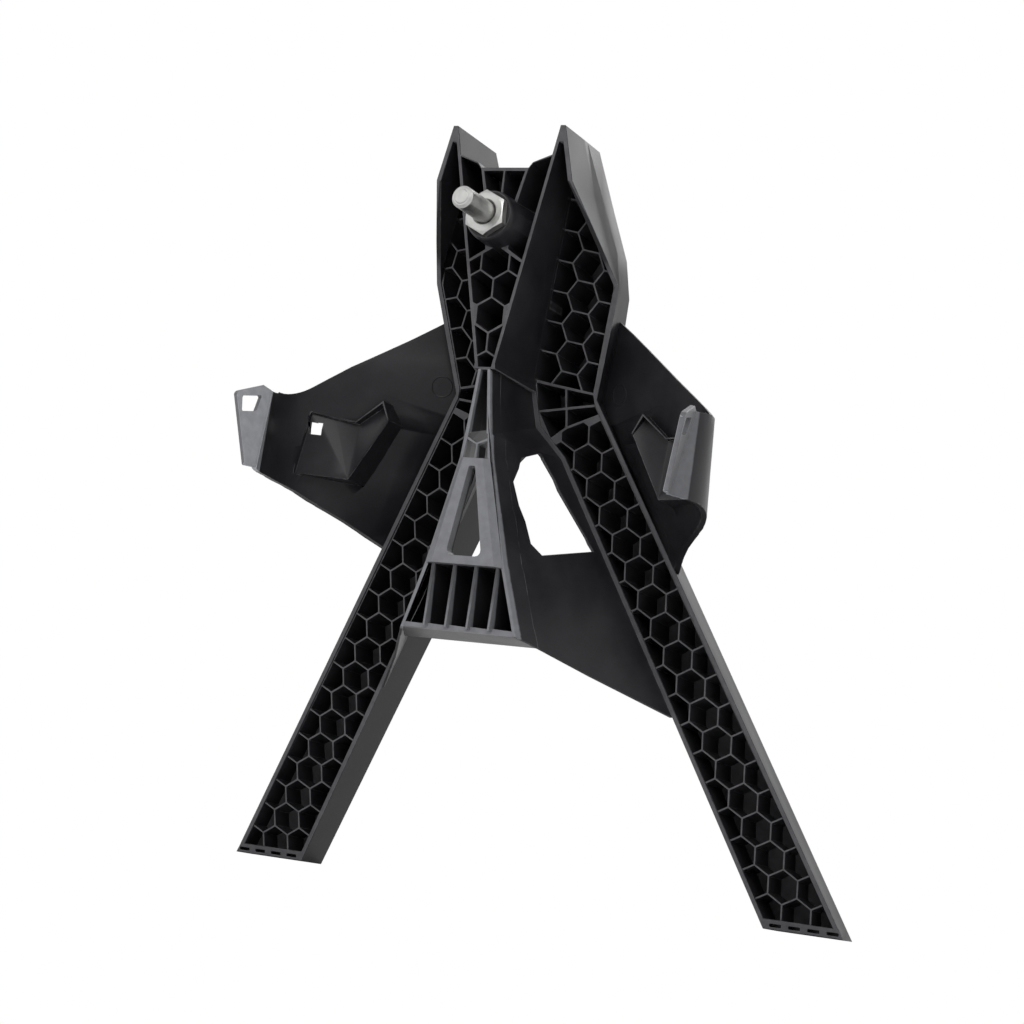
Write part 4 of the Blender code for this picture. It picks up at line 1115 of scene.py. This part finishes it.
@dataclass
class Moulding:
    """A piece of the moulding, taken from its node's form and run into the pieces beside it."""

    node: str = ""
    twin: str = ""
    neighbours: tuple[str, ...] = ()
    edge: float = 0.00030
    near: float = 0.00040
    touching: float = 1e-6
    bite: float = 0.00025
    seam: float = 0.0008
    shortest: float = 0.003
    finish: Finish = SATIN
    body: Body = Body.FRAME

    def blank(self) -> Piece:
        """Copies the node's form and closes its seams.

        Returns:
            The tidied copy.
        """
        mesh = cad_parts[self.node].data.copy()
        mesh.materials.clear()
        piece = tidied(linked(self.node + "_moulding", mesh))
        for name in self.neighbours:
            self.run_into(piece.data, surface(name))
        return piece

    def run_into(self, mesh: bpy.types.Mesh, other: BVHTree) -> None:
        """Moves what nearly touches a neighbour a little way into it.

        Args:
            mesh: Mesh that is changed.
            other: Surface of the neighbour.
        """
        for vert in mesh.vertices:
            nearest, _, _, distance = other.find_nearest(vert.co, self.near)
            if nearest is not None and distance > self.touching:
                vert.co += (nearest - vert.co) * (1.0 + self.bite / distance)

    def on_seam(self) -> Test:
        """Finds the seams.

        Returns:
            A test that tells whether a place touches another piece of the moulding.
        """
        others = [surface(name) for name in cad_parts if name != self.node and name not in AXLE_NODES]
        return lambda place: any(other.find_nearest(place, self.seam)[0] is not None for other in others)

    def build(self) -> None:
        """Makes and dresses the piece, and its twin on the other side."""
        piece = self.detailed(rounded(self.blank(), self.edge, self.on_seam(), self.shortest))
        if self.twin:
            mesh = piece.data.copy()
            mesh.transform(Matrix.Scale(-1.0, 4, (1.0, 0.0, 0.0)))
            mesh.flip_normals()
            other = linked(self.twin + "_moulding", mesh)
            placed(shaded(other), self.twin, self.finish, self.body)
        placed(shaded(piece), self.node, self.finish, self.body)

    def detailed(self, piece: Piece) -> Piece:
        """Adds what this piece has beyond its rounded form."""
        return piece


@dataclass
class SideBeam(Moulding):
    """Leg and prong of one side: its cells are filled, and cut again with soft mouths."""

    node: str = "right_leg"
    twin: str = "left_leg"
    shortest: float = 0.02
    hidden: Place = (0.0185, -0.03, 0.262)
    hidden_height: float = 0.058
    fill_into: float = 0.0012
    prong_into: float = 0.6
    clear: float = 0.00006
    leg_centre: Point = (0.1149, 0.0918)
    leg_turn: float = radians(-1.9)
    prong_centre: Point = (0.0366, 0.3287)
    prong_turn: float = radians(19.3)
    collar: Point = (0.0245, 0.2466)
    collar_outer_z: float = 0.2547
    collar_inner_z: float = 0.2390
    neck_outer_z: float = 0.2641
    neck_inner_z: float = 0.2703
    neck_share: float = 0.55
    belt_outer_z: float = 0.2590
    belt_inner_z: float = 0.2540
    waist_ahead: float = 0.003
    slots: int = 4
    slot_pitch: float = 0.0107
    slot_middle: float = 0.1662
    slot_size: Point = (0.0068, 0.0018)
    slot_corner: float = 0.0005
    slot_steps: int = 3
    slot_lip: float = 0.0014
    slot_depth: float = 0.0050

    def on_seam(self) -> Test:
        """Adds the prong's inner face, which lies against the bridge.

        Returns:
            A test that tells whether a place touches another piece.
        """
        seam = super().on_seam()
        x, y, z = self.hidden
        high = z + self.hidden_height
        return lambda place: seam(place) or (place.x < x and place.y > y and z < place.z < high)

    def fill_outline(self) -> Outline:
        """Runs half way through the walls.

        Returns:
            Outline of the filling.
        """
        mould = MOULD
        points = [mould.foot_inner, *mould.outer_corners()]
        points += [mould.tip_inner, mould.narrow, mould.stem, mould.crotch]
        into = self.fill_into
        sides = [mould.sole - into] + [mould.wall - into] * 5 + [mould.tip_solid - into]
        sides += [mould.prong_wall - self.prong_into * into] + [mould.wall - into] * 3
        return flat_outline(points, sides)

    def blank(self) -> Piece:
        """Takes the node's form and fills its cells and slots.

        Returns:
            The filled form.
        """
        piece = super().blank()
        mould = MOULD
        over = mould.recess - Honeycomb.over
        combined(piece, mould.solid("filling", self.fill_outline(), over, 0.5 * mould.skin), "UNION")
        corners = [mould.foot_inner, mould.foot_outer]
        corners += [(mould.outer_x(mould.sole), mould.sole), (mould.rim_x(mould.sole), mould.sole)]
        combined(piece, mould.solid("sole_filling", corners, 0.0, 0.5 * mould.skin), "UNION")
        return tidied(piece)

    def collar_corners(self) -> Outline:
        """Top of the leg's lattice: at the outer wall, in the middle and at the inner wall."""
        low, high = self.collar_inner_z, self.collar_outer_z
        return [(MOULD.outer_x(high), high), self.collar, (MOULD.rim_x(low), low)]

    def neck_corners(self) -> Outline:
        """Foot of the prong's lattice: at the inner wall and at the outer wall."""
        high = self.neck_outer_z
        return [(MOULD.narrow[0], self.neck_inner_z), (between(MOULD.waist, MOULD.shoulder, high), high)]

    def lattices(self) -> list[Honeycomb]:
        """Lays out the honeycombs.

        Returns:
            Those of the leg and of the prong.
        """
        mould = MOULD
        half = 0.5 * mould.rib
        wall = mould.wall + self.clear
        leg = [mould.foot_inner, mould.foot_outer, *self.collar_corners(), mould.crotch]
        leg_edges = [mould.sole + self.clear, wall, half, half, wall, wall]
        prong = [*self.neck_corners(), *mould.outer_corners()[2:], mould.tip_inner]
        prong_edges = [half] + [wall] * 4 + [mould.tip_solid + self.clear, mould.prong_wall + self.clear]
        return [
            Honeycomb("leg_cells", flat_outline(leg, leg_edges), self.leg_centre, self.leg_turn),
            Honeycomb("prong_cells", flat_outline(prong, prong_edges), self.prong_centre, self.prong_turn),
        ]

    def waist_cells(self) -> list[Outline]:
        """The four cells between the two lattices.

        Returns:
            Outlines of the cells, drawn in by the walls and half the ribs.
        """
        half = 0.5 * MOULD.rib
        wall = MOULD.wall + self.clear
        high, low = self.belt_outer_z, self.belt_inner_z
        collar_outer, collar, collar_inner = self.collar_corners()
        neck_inner, neck_outer = self.neck_corners()
        belt_inner, belt_outer = (MOULD.rim_x(low), low), (MOULD.outer_x(high), high)
        belt = (self.collar[0], 0.5 * (low + high))
        neck = (self.collar[0], self.neck_inner_z + self.neck_share * (self.neck_outer_z - self.neck_inner_z))
        cells = [
            ([belt_inner, belt, neck, neck_inner], [half, half, half, wall]),
            ([belt, belt_outer, neck_outer, neck], [half, wall, half, half]),
            ([collar_inner, collar, belt, belt_inner], [half, half, half, wall]),
            ([collar, collar_outer, belt_outer, belt], [half, wall, half, half]),
        ]
        return [flat_outline(outline, edges) for outline, edges in cells]

    def detailed(self, piece: Piece) -> Piece:
        """Cuts the two lattices, the four cells at the waist and the slots of the sole.

        Args:
            piece: Filled form.

        Returns:
            The cut form.
        """
        for lattice in self.lattices():
            piece = lattice.cut(piece, self.finish)
        for outline in self.waist_cells():
            combined(piece, MOULD.solid("waist_cell", outline, -self.waist_ahead, MOULD.skin), "DIFFERENCE")
        return self.slotted(piece)

    def slotted(self, piece: Piece) -> Piece:
        """Cuts the row of slots into the front of the sole by Geometry Nodes.

        Args:
            piece: Form with a plain sole.

        Returns:
            The form with its slots.
        """
        tree = FormTree("sole_slots")
        pitch = tree.given("Pitch", self.slot_pitch)
        count = tree.given("Slots", self.slots)
        start = self.slot_middle - pitch * (0.5 * (self.slots - 1))
        level = self.slot_lip + 0.5 * self.slot_size[1]
        first, step = tree.vector(start, MOULD.front(0.0), level), tree.vector(pitch, 0.0, 0.0)
        inputs = {"Count": count, "Start Location": first, "Offset": step}
        row = tree.node("GeometryNodeMeshLine", {"mode": "OFFSET"}, inputs)
        size = {0: tree.given("Width", self.slot_size[0]), 1: tree.given("Height", self.slot_size[1])}
        shape = tree.node("GeometryNodeCurvePrimitiveQuadrilateral", {"mode": "RECTANGLE"}, size)
        inputs = {"Curve": shape, "Count": self.slot_steps, "Radius": self.slot_corner}
        soft = tree.node("GeometryNodeFilletCurve", {"mode": "POLY"}, inputs)
        inputs = {"Start": (0.0, -self.slot_depth, 0.0), "End": (0.0, self.slot_depth, 0.0)}
        path = tree.node("GeometryNodeCurvePrimitiveLine", {"mode": "POINTS"}, inputs)
        inputs = {"Curve": path, "Profile Curve": soft, "Fill Caps": True}
        tool = tree.node("GeometryNodeCurveToMesh", {}, inputs)
        tree.finish(tree.without(tree.host(), tree.spread(row, tool)), self.finish)
        return tree.run(piece)


@dataclass
class Web(Moulding):
    """Thin wall between the keel and a leg."""

    node: str = "right_web"
    twin: str = "left_web"
    neighbours: tuple[str, ...] = ("right_leg", "keel_frame")


@dataclass
class Wing(Moulding):
    """Curled side wing with its pocket and flange."""

    node: str = "right_wing"
    twin: str = "left_wing"
    neighbours: tuple[str, ...] = ("right_leg",)
    finish: Finish = FLANGE_GREY


@dataclass
class Keel(Moulding):
    """Posts, window frame and grille between the webs."""

    node: str = "keel_frame"
    finish: Finish = FRAME_GREY


@dataclass
class Bridge(Moulding):
    """Wall between the prongs with the axle's boss."""

    node: str = "axle_bridge"
    neighbours: tuple[str, ...] = ("left_leg", "right_leg", "left_web", "right_web", "keel_frame")
    edge: float = 0.00022


@dataclass
class AxleSet:
    """Zinc plated stub, nut and washer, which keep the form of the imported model."""

    finish: Finish = BRIGHT

    def build(self) -> None:
        """Gives the kept nodes their finish."""
        for node in AXLE_NODES:
            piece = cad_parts[node]
            piece.data.materials.clear()
            piece.data.materials.append(self.finish.material())
            LOG.info("%s: %s, as packed", node, self.finish.name)


def main() -> None:
    """Builds and dresses the stand, then the studio round it."""
    logging.basicConfig(level=logging.INFO, format="%(name)s: %(message)s")
    bpy.context.scene.view_settings.view_transform = "Standard"
    for part in (SideBeam(), Web(), Wing(), Keel(), Bridge(), AxleSet()):
        part.build()
    Studio().build()


if __name__ == "__main__":
    main()
